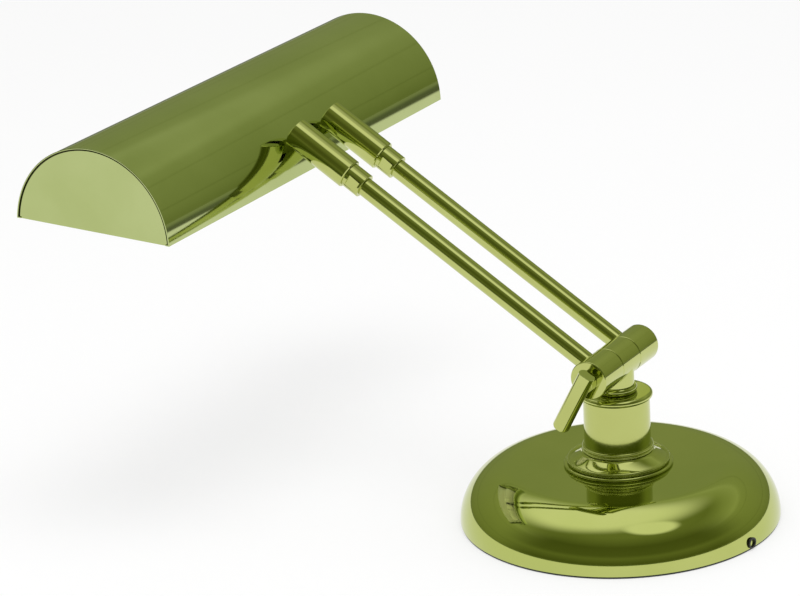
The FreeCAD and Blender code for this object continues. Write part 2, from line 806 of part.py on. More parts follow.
end_radius = shade_inner - end_groove
for word, side in SIDES:
    outside = half_length - end_inset
    start = outside - end_thick if side == NEAR else -outside
    plate = half_round(f"{word}_end_plate", end_radius, end_thick, start)
    lip_start = outside - end_lip if side == NEAR else -(outside - end_thick)
    lip = half_round(f"{word}_end_lip", shade_inner, end_lip - end_thick, lip_start)
    lip_way = rod(f"{word}_end_lip_way", end_radius - end_thick, end_lip + cut_over * 2,
                  lip_start - cut_over)
    lip_ring = cut(f"{word}_end_lip_ring", lip, lip_way)
    end = fuse(f"{word}_shade_end_part", plate, lip_ring)
    piece(in_shade_frame(end), f"{word}_shade_end")


def along_lug(obj, x, reach):
    """Stand a piece that was built along +Z on the lug's line, reach from the centre."""
    place(obj, x, 0, 0, lug_world_angle - 90, X_AXIS)
    obj.setExpression(
        "Placement.Base.y", f"{shade_y.text} + {reach.text} * cos({lug_world_angle.text} * 1deg)")
    obj.setExpression(
        "Placement.Base.z", f"{shade_z.text} + {reach.text} * sin({lug_world_angle.text} * 1deg)")
    return obj


# The lug's eye turns on the hinge pin, its stud goes through the shade's wall
lugs = []
lug_thick = slot_width - face_gap * 2
bracket_seat = root(shade_inner * shade_inner - bracket_width * bracket_width / 4)
nut_seat = bracket_seat - bracket_thick
stud_reach = nut_seat - lug_nut_thick - lug_tail
for word, side in SIDES:
    eye = rod(f"{word}_eye", lug_radius, lug_thick, -(lug_thick / 2), z=pin_standoff)
    web = box(f"{word}_web", lug_thick, lug_width, pin_standoff,
              x=-(lug_thick / 2), y=-(lug_width / 2))
    stud_part = cylinder(f"{word}_lug_stud", lug_stud, shade_radius - stud_reach + cut_over,
                         z=stud_reach - shade_radius)
    whole = fuse(f"{word}_lug_blank", eye, web, stud_part)
    pin_way = rod(f"{word}_pin_way", pin_radius + run_gap, lug_thick + cut_over * 2,
                  -(lug_thick / 2 + cut_over), z=pin_standoff)
    lug = cut(f"{word}_lug_part", whole, pin_way)
    lugs.append(along_lug(lug, arm_spread * side, shade_radius))
lug_group = doc.addObject("Part::Compound", "shade_lugs_part")
lug_group.Links = lugs
piece(lug_group, "shade_lugs")

lug_nuts = []
for word, side in SIDES:
    blank = hexagon(f"{word}_lug_nut_blank", lug_nut_width, lug_nut_thick)
    bore = cylinder(f"{word}_lug_nut_bore", lug_stud + seat_gap, lug_nut_thick + cut_over * 2,
                    z=-cut_over)
    lug_nut = cut(f"{word}_lug_nut_part", blank, bore)
    lug_nuts.append(along_lug(lug_nut, arm_spread * side, nut_seat - lug_nut_thick))
lug_nut_group = doc.addObject("Part::Compound", "lug_nuts_part")
lug_nut_group.Links = lug_nuts
piece(lug_nut_group, "lug_nuts")

# Lamp holder: a bracket held by the lug nuts, with an ear for each socket
strip = box("bracket_strip", bracket_half * 2, bracket_width, bracket_thick,
            x=-bracket_half, turn=lug_angle - 90)
strip_reach = bracket_seat - bracket_thick
strip.setExpression(
    "Placement.Base.y",
    f"{strip_reach.text} * cos({lug_angle.text} * 1deg)"
    f" - {bracket_width.text} / 2 * sin({lug_angle.text} * 1deg)")
strip.setExpression(
    "Placement.Base.z",
    f"{strip_reach.text} * sin({lug_angle.text} * 1deg)"
    f" + {bracket_width.text} / 2 * cos({lug_angle.text} * 1deg)")
ears = []
for word, side in SIDES:
    ear_x = ear_place if side == NEAR else -(ear_place + bracket_thick)
    ears.append(box(f"{word}_ear", bracket_thick, shade_radius + ear_half, ear_height,
                    x=ear_x, y=-ear_half, z=holder_rise - ear_height / 2))
tray_half = ear_place + tray_bite
tray_width = (switch_radius + tray_margin) * 2
tray = box("switch_tray", tray_half * 2, tray_width, bracket_thick,
           x=-tray_half, y=switch_place - tray_width / 2, z=switch_level)
ear_limit = rod("ear_limit", shade_inner - bracket_relief, bracket_half * 2, -bracket_half)
trimmed_ears = doc.addObject("Part::MultiCommon", "trimmed_ears")
trimmed_ears.Shapes = [fuse("ear_pair", *ears), ear_limit]
bracket_blank = fuse("bracket_blank", strip, tray, trimmed_ears)
bracket_holes = []
for word, side in SIDES:
    hole = cylinder(f"{word}_bracket_hole", lug_stud + seat_gap, bracket_thick * 3)
    place(hole, arm_spread * side, 0, 0, lug_angle - 90, X_AXIS)
    reach = strip_reach - bracket_thick
    hole.setExpression("Placement.Base.y", f"{reach.text} * cos({lug_angle.text} * 1deg)")
    hole.setExpression("Placement.Base.z", f"{reach.text} * sin({lug_angle.text} * 1deg)")
    bracket_holes.append(hole)
bushing_way = cylinder("bushing_way", bushing_radius + seat_gap, bracket_thick + cut_over * 2,
                       y=switch_place, z=switch_level - cut_over)
bracket = cut("socket_bracket_part", bracket_blank, bushing_way, *bracket_holes)
piece(in_shade_frame(bracket), "socket_bracket")

socket_start = ear_place + bracket_thick
cap_start = socket_start + socket_floor
glass_start = socket_start + socket_length + face_gap
socket_end = socket_start + socket_length
socket_bore = socket_radius - socket_wall
cap_base = cap_start + cap_seat
cap_bore = cap_shell_radius - cap_shell_wall


def along_x(obj, side):
    """Lay a piece that was built along +Z on the holder's line, towards one end."""
    frame_turn = Rotation(X_AXIS, number(shade_tilt)) * Rotation(Y_AXIS, 90 * side)
    obj.Placement = Placement(Vector(), frame_turn)
    obj.setExpression(
        "Placement.Base.y", f"{shade_y.text} - {holder_rise.text} * sin({shade_tilt.text} * 1deg)")
    obj.setExpression(
        "Placement.Base.z", f"{shade_z.text} + {holder_rise.text} * cos({shade_tilt.text} * 1deg)")
    return obj


for word, side in SIDES:
    socket = turned(f"{word}_socket", [
        (wire_radius, socket_start),
        (socket_radius - socket_chamfer, socket_start),
        (socket_radius, socket_start + socket_chamfer),
        (socket_radius, socket_end),
        (socket_bore, socket_end),
        (socket_bore, cap_start),
        (wire_radius, cap_start),
    ])
    piece(along_x(socket, side), f"{word}_socket")

    cap_shell = turned(f"{word}_bulb_cap", [
        (contact_hole, cap_base),
        (contact_radius, cap_base),
        (cap_shell_radius, cap_start + cap_taper),
        (cap_shell_radius, glass_start),
        (cap_bore, glass_start),
        (cap_bore, cap_start + cap_taper_inner),
        (contact_hole, cap_start + contact_inner),
    ])
    piece(along_x(cap_shell, side), f"{word}_bulb_cap")

    glass_end = glass_start + bulb_length
    glass_inner = bulb_radius - bulb_wall
    tip_start = glass_end - bulb_radius
    bulb_skin = turned(f"{word}_bulb_tube", [
        (bulb_neck - bulb_wall, glass_start),
        (bulb_neck, glass_start),
        (bulb_radius, glass_start + bulb_shoulder),
        (bulb_radius, tip_start),
        (glass_inner, tip_start),
        (glass_inner, glass_start + bulb_shoulder + bulb_step),
    ])
    tip_ball = doc.addObject("Part::Sphere", f"{word}_tip_ball")
    bind(tip_ball, Radius=bulb_radius)
    tip_ball.Angle1 = 0
    place(tip_ball, z=tip_start)
    tip_void = doc.addObject("Part::Sphere", f"{word}_tip_void")
    bind(tip_void, Radius=glass_inner)
    place(tip_void, z=tip_start)
    tip = cut(f"{word}_tip", tip_ball, tip_void)
    bulb = fuse(f"{word}_bulb_part", bulb_skin, tip)
    piece(along_x(bulb, side), f"{word}_bulb")

# Switch: a rotary switch on the bracket's tray, its knob faces down out of the shade
switch_case = cylinder("switch_case", switch_radius, switch_height,
                       y=switch_place, z=switch_level + bracket_thick)
bushing = cylinder("switch_bushing", bushing_radius, bushing_length + bracket_thick,
                   y=switch_place, z=switch_level - bushing_length)
switch_way = cylinder("switch_way", spindle_radius + run_gap, spindle_length + cut_over,
                      y=switch_place, z=switch_level - bushing_length - cut_over)
switch_blank = fuse("switch_blank", switch_case, bushing)
piece(in_shade_frame(cut("switch_body_part", switch_blank, switch_way)), "switch_body")

switch_nut_level = switch_level - switch_nut_thick
switch_nut_blank = hexagon("switch_nut_blank", switch_nut_width, switch_nut_thick,
                           y=switch_place, z=switch_nut_level)
switch_nut_bore = cylinder("switch_nut_bore", bushing_radius + seat_gap,
                           switch_nut_thick + cut_over * 2,
                           y=switch_place, z=switch_nut_level - cut_over)
switch_nut = cut("switch_nut_part", switch_nut_blank, switch_nut_bore)
piece(in_shade_frame(switch_nut), "switch_nut")

knob_top = switch_level - bushing_length - face_gap
knob_blank = cylinder("knob_blank", knob_radius, knob_height,
                      y=switch_place, z=knob_top - knob_height)
knob_soft = rounded("knob_soft", knob_blank, knob_round,
                    lambda edge: isinstance(edge.Curve, Part.Circle))
spindle = cylinder("knob_spindle", spindle_radius, spindle_length,
                   y=switch_place, z=knob_top - spindle_bite)
knob = fuse("switch_knob_part", knob_soft, spindle)
piece(in_shade_frame(knob), "switch_knob")

# Build, look for failures, then write each piece
doc.recompute()
for obj in doc.Objects:
    if "Invalid" in obj.State or "Error" in obj.State:
        raise RuntimeError(f"{obj.Label} failed: {obj.State}")
for obj in pieces:
    if obj.Shape.isNull() or not obj.Shape.isValid():
        raise RuntimeError(f"{obj.Label} has no valid shape")

os.makedirs("parts", exist_ok=True)
for obj in pieces:
    obj.Shape.exportStep(f"parts/{obj.Label}.step")
    limits = obj.Shape.BoundBox
    print(f"{obj.Label}: {len(obj.Shape.Solids)} solid, {obj.Shape.Volume / 1000:.1f} cm3,"
          f" z {limits.ZMin:.1f} to {limits.ZMax:.1f}")
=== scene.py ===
# %% [markdown]
# # A brass piano lamp, piece by piece
# A piano lamp hangs a long half-round shade over the music on two thin arms.
# Nearly all of it is polished brass, so this lesson is about two things: clean
# turned shapes, whose smooth walls give smooth reflections, and a room for the
# metal to reflect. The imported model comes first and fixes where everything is.

# %% The frame
import json
import math
import bpy
from mathutils import Matrix, Vector


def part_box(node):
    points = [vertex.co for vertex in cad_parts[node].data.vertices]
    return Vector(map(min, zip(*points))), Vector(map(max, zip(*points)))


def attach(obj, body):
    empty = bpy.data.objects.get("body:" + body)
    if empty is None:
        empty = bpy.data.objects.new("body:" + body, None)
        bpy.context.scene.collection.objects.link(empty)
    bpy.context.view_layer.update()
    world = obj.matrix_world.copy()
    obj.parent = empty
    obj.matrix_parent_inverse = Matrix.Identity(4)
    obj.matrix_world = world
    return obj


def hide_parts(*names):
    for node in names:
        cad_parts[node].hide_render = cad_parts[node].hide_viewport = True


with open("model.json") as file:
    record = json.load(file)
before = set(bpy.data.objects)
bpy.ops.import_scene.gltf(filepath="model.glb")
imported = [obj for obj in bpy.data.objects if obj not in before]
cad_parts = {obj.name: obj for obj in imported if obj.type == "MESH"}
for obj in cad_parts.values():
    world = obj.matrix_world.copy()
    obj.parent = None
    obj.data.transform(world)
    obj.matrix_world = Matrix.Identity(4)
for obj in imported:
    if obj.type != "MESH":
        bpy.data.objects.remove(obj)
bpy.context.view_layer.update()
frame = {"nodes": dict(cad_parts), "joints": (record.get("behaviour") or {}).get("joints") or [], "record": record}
joints = {joint["name"]: joint for joint in frame["joints"]}
MM = 0.001

# %% [markdown]
# ## Where things are
# The arms and the shade lean, so their pieces are easiest to model upright and
# then laid in place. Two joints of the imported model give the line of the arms:
# the barrel's axis and the pin that the shade tilts on. A matrix made from them
# carries an upright piece onto an arm, and another carries it into the shade.

# %% The arm frame and the shade frame
SIDES = (("near", 1), ("far", -1))
ARM_SPREAD = 22.0 * MM
SHADE_TILT = math.radians(-3.2)
LUG_ANGLE = math.radians(25.3)
PIN_STANDOFF = 14.0 * MM
SHADE_RADIUS = 58.5 * MM
SHADE_WALL = 0.9 * MM
MOUTH_OFFSET = 2.9 * MM

barrel = Vector(joints["arm_pitch"]["pos_m"])
tilt_pin = Vector(joints["shade_tilt"]["pos_m"])
arm_line = (tilt_pin - barrel).normalized()
arm_turn = math.atan2(-arm_line.y, arm_line.z)
lug_line = Vector((0, math.cos(LUG_ANGLE + SHADE_TILT), math.sin(LUG_ANGLE + SHADE_TILT)))
shade_centre = tilt_pin - lug_line * (SHADE_RADIUS + PIN_STANDOFF)
shade_centre.x = 0.0
in_shade = Matrix.Translation(shade_centre) @ Matrix.Rotation(SHADE_TILT, 4, "X")


def on_arm(side):
    """Carries a piece built along +Z onto one arm."""
    start = Vector((ARM_SPREAD * side, barrel.y, barrel.z))
    return Matrix.Translation(start) @ Matrix.Rotation(arm_turn, 4, "X")


print("arm rises", round(math.degrees(math.pi / 2 - arm_turn), 1), "degrees")

# %% [markdown]
# ## A lathe made of one circle
# Brass fittings are turned on a lathe, and the same idea works in edit mode: one
# circle is extruded ring by ring, and each new ring is scaled to its radius. A
# spin of a drawn outline would do too, but the rings stay easy to read as pairs
# of radius and height. Corners are left sharp and get a small bevel afterwards,
# because every machined edge catches a thin line of light.

# %% Modelling helpers
SMOOTH_BELOW = math.radians(35)
DOUBLED = 0.002 * MM


def select_only(piece=None):
    bpy.ops.object.select_all(action="DESELECT")
    if piece:
        piece.select_set(True)
        bpy.context.view_layer.objects.active = piece


def edit(piece, mode="VERT"):
    """Go into edit mode with nothing selected."""
    select_only(piece)
    bpy.ops.object.mode_set(mode="EDIT")
    bpy.ops.mesh.select_mode(type=mode)
    bpy.ops.mesh.select_all(action="DESELECT")


def leave():
    bpy.ops.object.mode_set(mode="OBJECT")


def tidy_mesh(piece):
    """Join doubled points and turn all faces outwards."""
    edit(piece)
    bpy.ops.mesh.select_all(action="SELECT")
    bpy.ops.mesh.remove_doubles(threshold=DOUBLED)
    bpy.ops.mesh.normals_make_consistent(inside=False)
    leave()


def apply_modifier(piece, kind, **settings):
    select_only(piece)
    modifier = piece.modifiers.new(kind.title(), kind)
    for name, value in settings.items():
        setattr(modifier, name, value)
    bpy.ops.object.modifier_apply(modifier=modifier.name)


def shade_true(piece):
    """Shade smooth, with the normals weighted so that flat faces stay flat in a mirror."""
    select_only(piece)
    bpy.ops.object.shade_smooth_by_angle(angle=SMOOTH_BELOW)
    apply_modifier(piece, "WEIGHTED_NORMAL", keep_sharp=True, weight=100)


def soften(piece, width, segments=3, angle=28):
    """Bevel the sharp edges, then shade smooth up to a sharp angle."""
    apply_modifier(piece, "BEVEL", width=width, segments=segments, limit_method="ANGLE",
                   angle_limit=math.radians(angle))
    shade_true(piece)


def lay(piece, matrix=None):
    """Carry a piece to its place and bake the place into its mesh."""
    select_only(piece)
    if matrix is not None:
        piece.matrix_world = matrix @ piece.matrix_world
    bpy.ops.object.transform_apply(location=True, rotation=True, scale=True)


def turned(name, rings, sides=96, closed=False):
    """Turn a shape about Z from (radius, height) rings.

    A closed shape comes back to its first ring, an open one gets flat ends.
    """
    radius, height = rings[0]
    select_only()
    bpy.ops.mesh.primitive_circle_add(vertices=sides, radius=radius, location=(0, 0, height))
    piece = bpy.context.object
    piece.name = name
    edit(piece)
    bpy.ops.mesh.select_all(action="SELECT")
    path = rings[1:] + ([rings[0]] if closed else [])
    for next_radius, next_height in path:
        bpy.ops.mesh.extrude_region_move(
            TRANSFORM_OT_translate={"value": (0, 0, next_height - height)})
        scale = next_radius / radius
        bpy.ops.transform.resize(value=(scale, scale, 1), center_override=(0, 0, next_height))
        radius, height = next_radius, next_height
    if not closed:
        bpy.ops.mesh.select_all(action="SELECT")
        bpy.ops.mesh.fill_holes(sides=0)
    leave()
    lay(piece)
    tidy_mesh(piece)
    return piece


def arc(centre, radius, start, end, steps):
    """Ring positions along an arc, with angles in degrees from the radius direction."""
    points = []
    for step in range(steps + 1):
        angle = math.radians(start + (end - start) * step / steps)
        points.append((centre[0] + radius * math.cos(angle),
                       centre[1] + radius * math.sin(angle)))
    return points


def carve(piece, cutter):
    """Cut one shape out of another and throw the cutter away."""
    apply_modifier(piece, "BOOLEAN", object=cutter, operation="DIFFERENCE", solver="EXACT")
    bpy.data.objects.remove(cutter)


def cube(name, low, high):
    """A block between two corners, used as a cutter."""
    low, high = Vector(low), Vector(high)
    select_only()
    bpy.ops.mesh.primitive_cube_add(size=1, location=(low + high) / 2)
    block = bpy.context.object
    block.name = name
    block.scale = high - low
    lay(block)
    return block


def join(piece, extra):
    """Make a second shape part of a piece."""
    select_only(extra)
    piece.select_set(True)
    bpy.context.view_layer.objects.active = piece
    bpy.ops.object.join()


def report(piece):
    print(f"{piece.name}: {len(piece.data.polygons)} faces")


print("ready to turn, cut and bevel")

# %% [markdown]
# ## Shader sums as plain Python
# A finish is a small graph of nodes. Wrapping a socket in a class lets a sum such
# as 0.05 + grain * 0.02 be written as it is read, and each operator adds its own
# Math node. Other nodes come from one method, so a whole finish fits in a few
# lines that can be compared with each other.

# %% A wrapped socket and a finish
class Wire:
    """A shader socket that takes part in sums."""

    def __init__(self, finish, socket):
        self.finish = finish
        self.socket = socket

    def _sum(self, operation, first, second):
        return self.finish.node("ShaderNodeMath", {"operation": operation}, first, second)

    def __add__(self, other):
        return self._sum("ADD", self, other)

    def __mul__(self, other):
        return self._sum("MULTIPLY", self, other)

    def __radd__(self, other):
        return self._sum("ADD", other, self)

    def __pow__(self, other):
        return self._sum("POWER", self, other)


class Finish:
    """One material and the nodes that colour it."""

    def __init__(self, name, **constants):
        self.material = bpy.data.materials.new(name)
        self.material.use_nodes = True
        self.tree = self.material.node_tree
        self.shader = self.tree.nodes["Principled BSDF"]
        for socket, value in constants.items():
            self.shader.inputs[socket.replace("_", " ")].default_value = value

    def node(self, kind, settings=None, *values, out=0):
        """Add any node: settings first, then the values or links of its sockets."""
        node = self.tree.nodes.new(kind)
        for name, value in (settings or {}).items():
            if name == "stops":
                self._stops(node.color_ramp, value)
            else:
                setattr(node, name, value)
        for place, value in enumerate(values):
            self._feed(node.inputs[place], value)
        return Wire(self, node.outputs[out])

    def _stops(self, ramp, stops):
        while len(ramp.elements) < len(stops):
            ramp.elements.new(1.0)
        for element, (place, colour) in zip(ramp.elements, stops):
            element.position = place
            element.color = (*colour, 1.0)

    def _feed(self, socket, value):
        if isinstance(value, Wire):
            self.tree.links.new(value.socket, socket)
        elif value is not None:
            socket.default_value = value

    def set(self, socket, value):
        self._feed(self.shader.inputs[socket], value)

    def place(self, scale=(1, 1, 1)):
        """Object coordinates, stretched by scale."""
        spot = self.node("ShaderNodeTexCoord", None, out=3)
        return self.node("ShaderNodeMapping", None, spot, None, None, scale)

    def noise(self, spot, size, detail, rough=0.5):
        return self.node("ShaderNodeTexNoise", None, spot, None, size, detail, rough)

    def mix(self, amount, first, second):
        """Mix two colours by a wire between 0 and 1."""
        node = self.tree.nodes.new("ShaderNodeMix")
        node.data_type = "RGBA"
        self._feed(node.inputs["Factor"], amount)
        self._feed(node.inputs[6], first)
        self._feed(node.inputs[7], second)
        return Wire(self, node.outputs[2])

    def bump(self, height, distance):
        """Raise or sink the surface by a distance where height is 1."""
        node = self.tree.nodes.new("ShaderNodeBump")
        node.inputs["Distance"].default_value = distance
        self._feed(node.inputs["Height"], height)
        self.tree.links.new(node.outputs["Normal"], self.shader.inputs["Normal"])

    def glow(self, share, reach, mirror_share, stops):
        """Show plain white to camera rays in part, so the shadow stays.

        Mirrors see the stops instead, by distance from the middle as a share of reach.
        """
        path = self.tree.nodes.new("ShaderNodeLightPath")
        camera_ray = Wire(self, path.outputs["Is Camera Ray"])
        mirror_ray = Wire(self, path.outputs["Is Glossy Ray"])
        spot = self.node("ShaderNodeTexCoord", None, out=3)
        distance = self.node("ShaderNodeVectorMath", {"operation": "LENGTH"}, spot, out=1)
        outwards = self.node("ShaderNodeMath", {"operation": "DIVIDE"}, distance, reach)
        edge = self.node("ShaderNodeValToRGB", {"stops": stops}, outwards)
        colour = self.mix(camera_ray, edge, (1, 1, 1, 1))
        white = self.tree.nodes.new("ShaderNodeEmission")
        self._feed(white.inputs["Color"], colour)
        both = self.tree.nodes.new("ShaderNodeMixShader")
        self._feed(both.inputs["Fac"], camera_ray * share + mirror_ray * mirror_share)
        self.tree.links.new(self.shader.outputs[0], both.inputs[1])
        self.tree.links.new(white.outputs[0], both.inputs[2])
        self.tree.links.new(both.outputs[0], self.tree.nodes["Material Output"].inputs["Surface"])


finishes = {}


def dress(piece, name):
    """Give a piece one finish."""
    piece.data.materials.clear()
    piece.data.materials.append(finishes[name].material)


print("ready to make finishes")

# %% [markdown]
# ## Lacquered brass
# The brass is polished to a mirror and lacquered, so its colour is that of its
# reflections times a green-gold. A perfectly even metal looks like plastic, so
# the finish has cloudy tone, faint polishing lines that change the roughness a
# little, and a very shallow swell that makes straight reflections waver. Spun,
# rolled and turned brass differ by a shade. The brass in a groove is painted
# near black as painted shade, standing in for the shadow that fills the groove.

# %% Brass
def make_brass(name, light, deep, swell, dull):
    """Brass with a cloudy tone, drawn lines, specks and a slow swell."""
    brass = Finish(name, Metallic=1.0, Coat_Roughness=0.03, Coat_IOR=1.45)
    spot = brass.place()
    cloud = brass.noise(spot, 14.0, 4.0)
    lines = brass.noise(brass.place((60, 900, 900)), 1.0, 2.0)
    specks = brass.noise(spot, 900.0, 1.0)
    tone = brass.node("ShaderNodeMapRange", {"clamp": True}, cloud, 0.35, 0.65, 0.0, 1.0)
    brass.set("Base Color", brass.mix(tone, light, deep))
    brass.set("Roughness", dull + lines * 0.03 + specks ** 6.0 * 0.05)
    brass.set("Coat Weight", 0.08 + cloud * 0.1)
    brass.bump(brass.noise(spot, 22.0, 1.0), swell)
    finishes[name] = brass


make_brass("polished_brass", (0.53, 0.58, 0.18, 1), (0.48, 0.54, 0.15, 1), 0.06 * MM, 0.035)
make_brass("rolled_brass", (0.50, 0.57, 0.24, 1), (0.45, 0.52, 0.20, 1), 0.05 * MM, 0.055)
# painted shade: near-black brass that stands in for the shadow in the end plates' groove
make_brass("painted_shade_brass", (0.07, 0.08, 0.02, 1), (0.04, 0.04, 0.01, 1), 0.05 * MM, 0.4)
make_brass("turned_brass", (0.54, 0.59, 0.20, 1), (0.49, 0.53, 0.16, 1), 0.02 * MM, 0.06)
print("brass finishes:", list(finishes))

# %% [markdown]
# ## The quiet finishes
# The other materials show only from below, behind or inside, but each has its
# own grain: felt is fibrous, cast iron is pitted, zinc is lightly clouded, and
# moulded plastic has a fine even texture.

# %% Steel, iron, felt, plastic, porcelain and glass
def make_plain(name, light, deep, grain, rough, depth, **constants):
    """A finish whose tone, roughness and surface all follow one grain size."""
    finish = Finish(name, **constants)
    spot = finish.place()
    coarse = finish.noise(spot, grain, 4.0, 0.6)
    fine = finish.noise(spot, grain * 6, 2.0)
    finish.set("Base Color", finish.mix(coarse, light, deep))
    finish.set("Roughness", rough[0] + fine * (rough[1] - rough[0]))
    finish.bump(coarse * 0.6 + fine * 0.4, depth)
    finishes[name] = finish


make_plain("zinc_steel", (0.62, 0.62, 0.60, 1), (0.45, 0.46, 0.46, 1), 160.0, (0.25, 0.45),
           0.02 * MM, Metallic=1.0)
make_plain("cast_weight", (0.05, 0.05, 0.05, 1), (0.02, 0.02, 0.02, 1), 420.0, (0.5, 0.8),
           0.4 * MM)
make_plain("felt_pad", (0.035, 0.045, 0.04, 1), (0.012, 0.016, 0.014, 1), 900.0, (0.85, 1.0),
           0.5 * MM, Sheen_Weight=0.4)
make_plain("black_plastic", (0.03, 0.03, 0.03, 1), (0.018, 0.018, 0.018, 1), 700.0, (0.3, 0.42),
           0.03 * MM)
make_plain("black_nylon", (0.02, 0.02, 0.02, 1), (0.012, 0.012, 0.012, 1), 600.0, (0.4, 0.55),
           0.03 * MM)
make_plain("fibre_washer", (0.30, 0.10, 0.06, 1), (0.18, 0.06, 0.04, 1), 800.0, (0.7, 0.9),
           0.05 * MM)
make_plain("socket_shell", (0.80, 0.79, 0.75, 1), (0.72, 0.71, 0.66, 1), 90.0, (0.12, 0.22),
           0.02 * MM, Coat_Weight=0.4)
make_plain("bulb_cap", (0.78, 0.78, 0.76, 1), (0.60, 0.60, 0.58, 1), 220.0, (0.18, 0.32),
           0.02 * MM, Metallic=1.0)
make_plain("white_enamel", (0.86, 0.86, 0.82, 1), (0.80, 0.80, 0.75, 1), 60.0, (0.28, 0.4),
           0.03 * MM)
make_plain("bulb_glass", (0.92, 0.91, 0.87, 1), (0.85, 0.84, 0.80, 1), 260.0, (0.35, 0.5),
           0.01 * MM, Transmission_Weight=0.35, Coat_Weight=0.6, Coat_Roughness=0.1)
for node_name, node in frame["nodes"].items():
    slot_name = next(part["material_slot"] for part in frame["record"]["subparts"]
                     if part["node"] == node_name)
    dress(node, slot_name)
print("nodes dressed:", len(frame["nodes"]))


def stand_for(piece, node, body, finish):
    """Finish a piece that takes a node's place on a body."""
    dress(piece, finish)
    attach(piece, body)
    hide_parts(node)
    report(piece)


# %% [markdown]
# ## The base
# The base is spun from sheet brass: a flat top, a broad round shoulder and a rim
# that turns in a little where it meets the table. The lathe rings follow that
# outline, up the inside too. The shoulder is one arc in many steps, because a
# mirror shows every flat. A felt pad closes the underside.

# %% Base shell and pad
base_low, base_high = (Vector(corner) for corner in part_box("base_shell"))
base_radius = base_high.x
base_top = base_high.z
base_floor = base_low.z
SHOULDER = 36.0 * MM
SHEET = 1.2 * MM
BASE_BORE = 5.05 * MM
FLAT_RINGS = (30 * MM, 56 * MM)
RIM_TURN, RIM_WIDTH, RIM_RISE = 0.9 * MM, 1.6 * MM, 2 * MM
PAD_HOLE = 20 * MM
PAD_EDGE, PAD_EDGE_RISE = 0.4 * MM, 0.3 * MM

shoulder_centre = (base_radius - SHOULDER, base_top - SHOULDER)
base_outline = [(radius, base_top) for radius in (BASE_BORE, *FLAT_RINGS)]
base_outline += arc(shoulder_centre, SHOULDER, 90, 0, 48)
base_outline += [(base_radius - RIM_TURN, base_floor), (base_radius - RIM_WIDTH, base_floor),
                 (base_radius - RIM_WIDTH, base_top - SHOULDER + RIM_RISE)]
base_outline += arc(shoulder_centre, SHOULDER - SHEET, 3, 90, 24)
base_outline += [(BASE_BORE, base_top - SHEET)]
base_shell = turned("base_shell_spun", base_outline, sides=192, closed=True)
soften(base_shell, 0.25 * MM, 2, 40)
stand_for(base_shell, "base_shell", "root", "polished_brass")

pad_low, pad_high = (Vector(corner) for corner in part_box("base_pad"))
pad_rings = [(PAD_HOLE, pad_low.z), (pad_high.x - PAD_EDGE, pad_low.z),
             (pad_high.x, pad_low.z + PAD_EDGE_RISE), (pad_high.x, pad_high.z),
             (PAD_HOLE, pad_high.z)]
base_pad = turned("base_pad_felt", pad_rings, sides=128)
soften(base_pad, 0.1 * MM, 1, 40)
stand_for(base_pad, "base_pad", "root", "felt_pad")

# %% [markdown]
# ## Flange, bead, post and cap
# Four turned pieces are stacked on the base. The flange has a low foot, a
# thin raised lip and a dished top that climbs to the post. The bead is two small
# rounds, one on the other, and the cap's edge is a full half round. Heights come
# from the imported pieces, so that the stack closes without gaps.

# %% Post pieces
def level(node, high=True):
    """A node's highest or lowest level."""
    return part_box(node)[1 if high else 0][2]


FOOT, PLATE, BEAD, POST, CAP = 36.0 * MM, 34.0 * MM, 23.6 * MM, 21.9 * MM, 24.0 * MM
FLANGE_BORE, FLANGE_HOLLOW = 10 * MM, 15 * MM
RIM = 1.15 * MM
PLATE_RISE = 2.4 * MM
GROOVE_IN, GROOVE_TALL = 1.2 * MM, 0.5 * MM
LIP_RISE = 1.7 * MM
DISH_IN, DISH_RISE = 2.2 * MM, 2.1 * MM
DISH_OUT, DISH_DROP = 0.6 * MM, 0.9 * MM
DISH_STEPS, DISH_CURVE = 12, 1.25

flange_low, flange_top = level("base_flange", False), level("base_flange")
plate_level = flange_low + PLATE_RISE
flange_rings = [(FLANGE_BORE, flange_low), (FOOT - RIM, flange_low)]
flange_rings += arc((FOOT - RIM, flange_low + RIM), RIM, -80, 80, 12)
flange_rings += [(PLATE - GROOVE_IN, plate_level), (PLATE - GROOVE_IN, plate_level + GROOVE_TALL)]
flange_rings += arc((PLATE - RIM, plate_level + LIP_RISE), RIM, -80, 120, 14)
dish_start = Vector((PLATE - DISH_IN, plate_level + DISH_RISE))
dish_way = Vector((BEAD + DISH_OUT, flange_top - DISH_DROP)) - dish_start
for step in range(DISH_STEPS + 1):
    share = step / DISH_STEPS
    flange_rings.append((dish_start.x + dish_way.x * share,
                         dish_start.y + dish_way.y * share ** DISH_CURVE))
flange_rings += [(BEAD, flange_top), (FLANGE_HOLLOW, flange_top), (FLANGE_HOLLOW, plate_level),
                 (FLANGE_BORE, plate_level)]
flange = turned("base_flange_turned", flange_rings, sides=160, closed=True)
soften(flange, 0.12 * MM, 2, 40)
stand_for(flange, "base_flange", "root", "turned_brass")

BEAD_TALL, BEAD_FIT, BEAD_INSET = 4.5 * MM, 0.05 * MM, 0.1 * MM
ring_low, ring_high = flange_top, flange_top + BEAD_TALL
half_bead = BEAD_TALL / 4
bead_rings = [(POST + BEAD_FIT, ring_low)]
for bead_centre in (ring_low + half_bead, ring_high - half_bead):
    bead_rings += arc((BEAD - half_bead - BEAD_INSET, bead_centre), half_bead * 0.98, -80, 80, 12)
bead_rings += [(POST + BEAD_FIT, ring_high)]
post_ring = turned("post_ring_turned", bead_rings, sides=160, closed=True)
soften(post_ring, 0.05 * MM, 1, 50)
stand_for(post_ring, "post_ring", "root", "turned_brass")

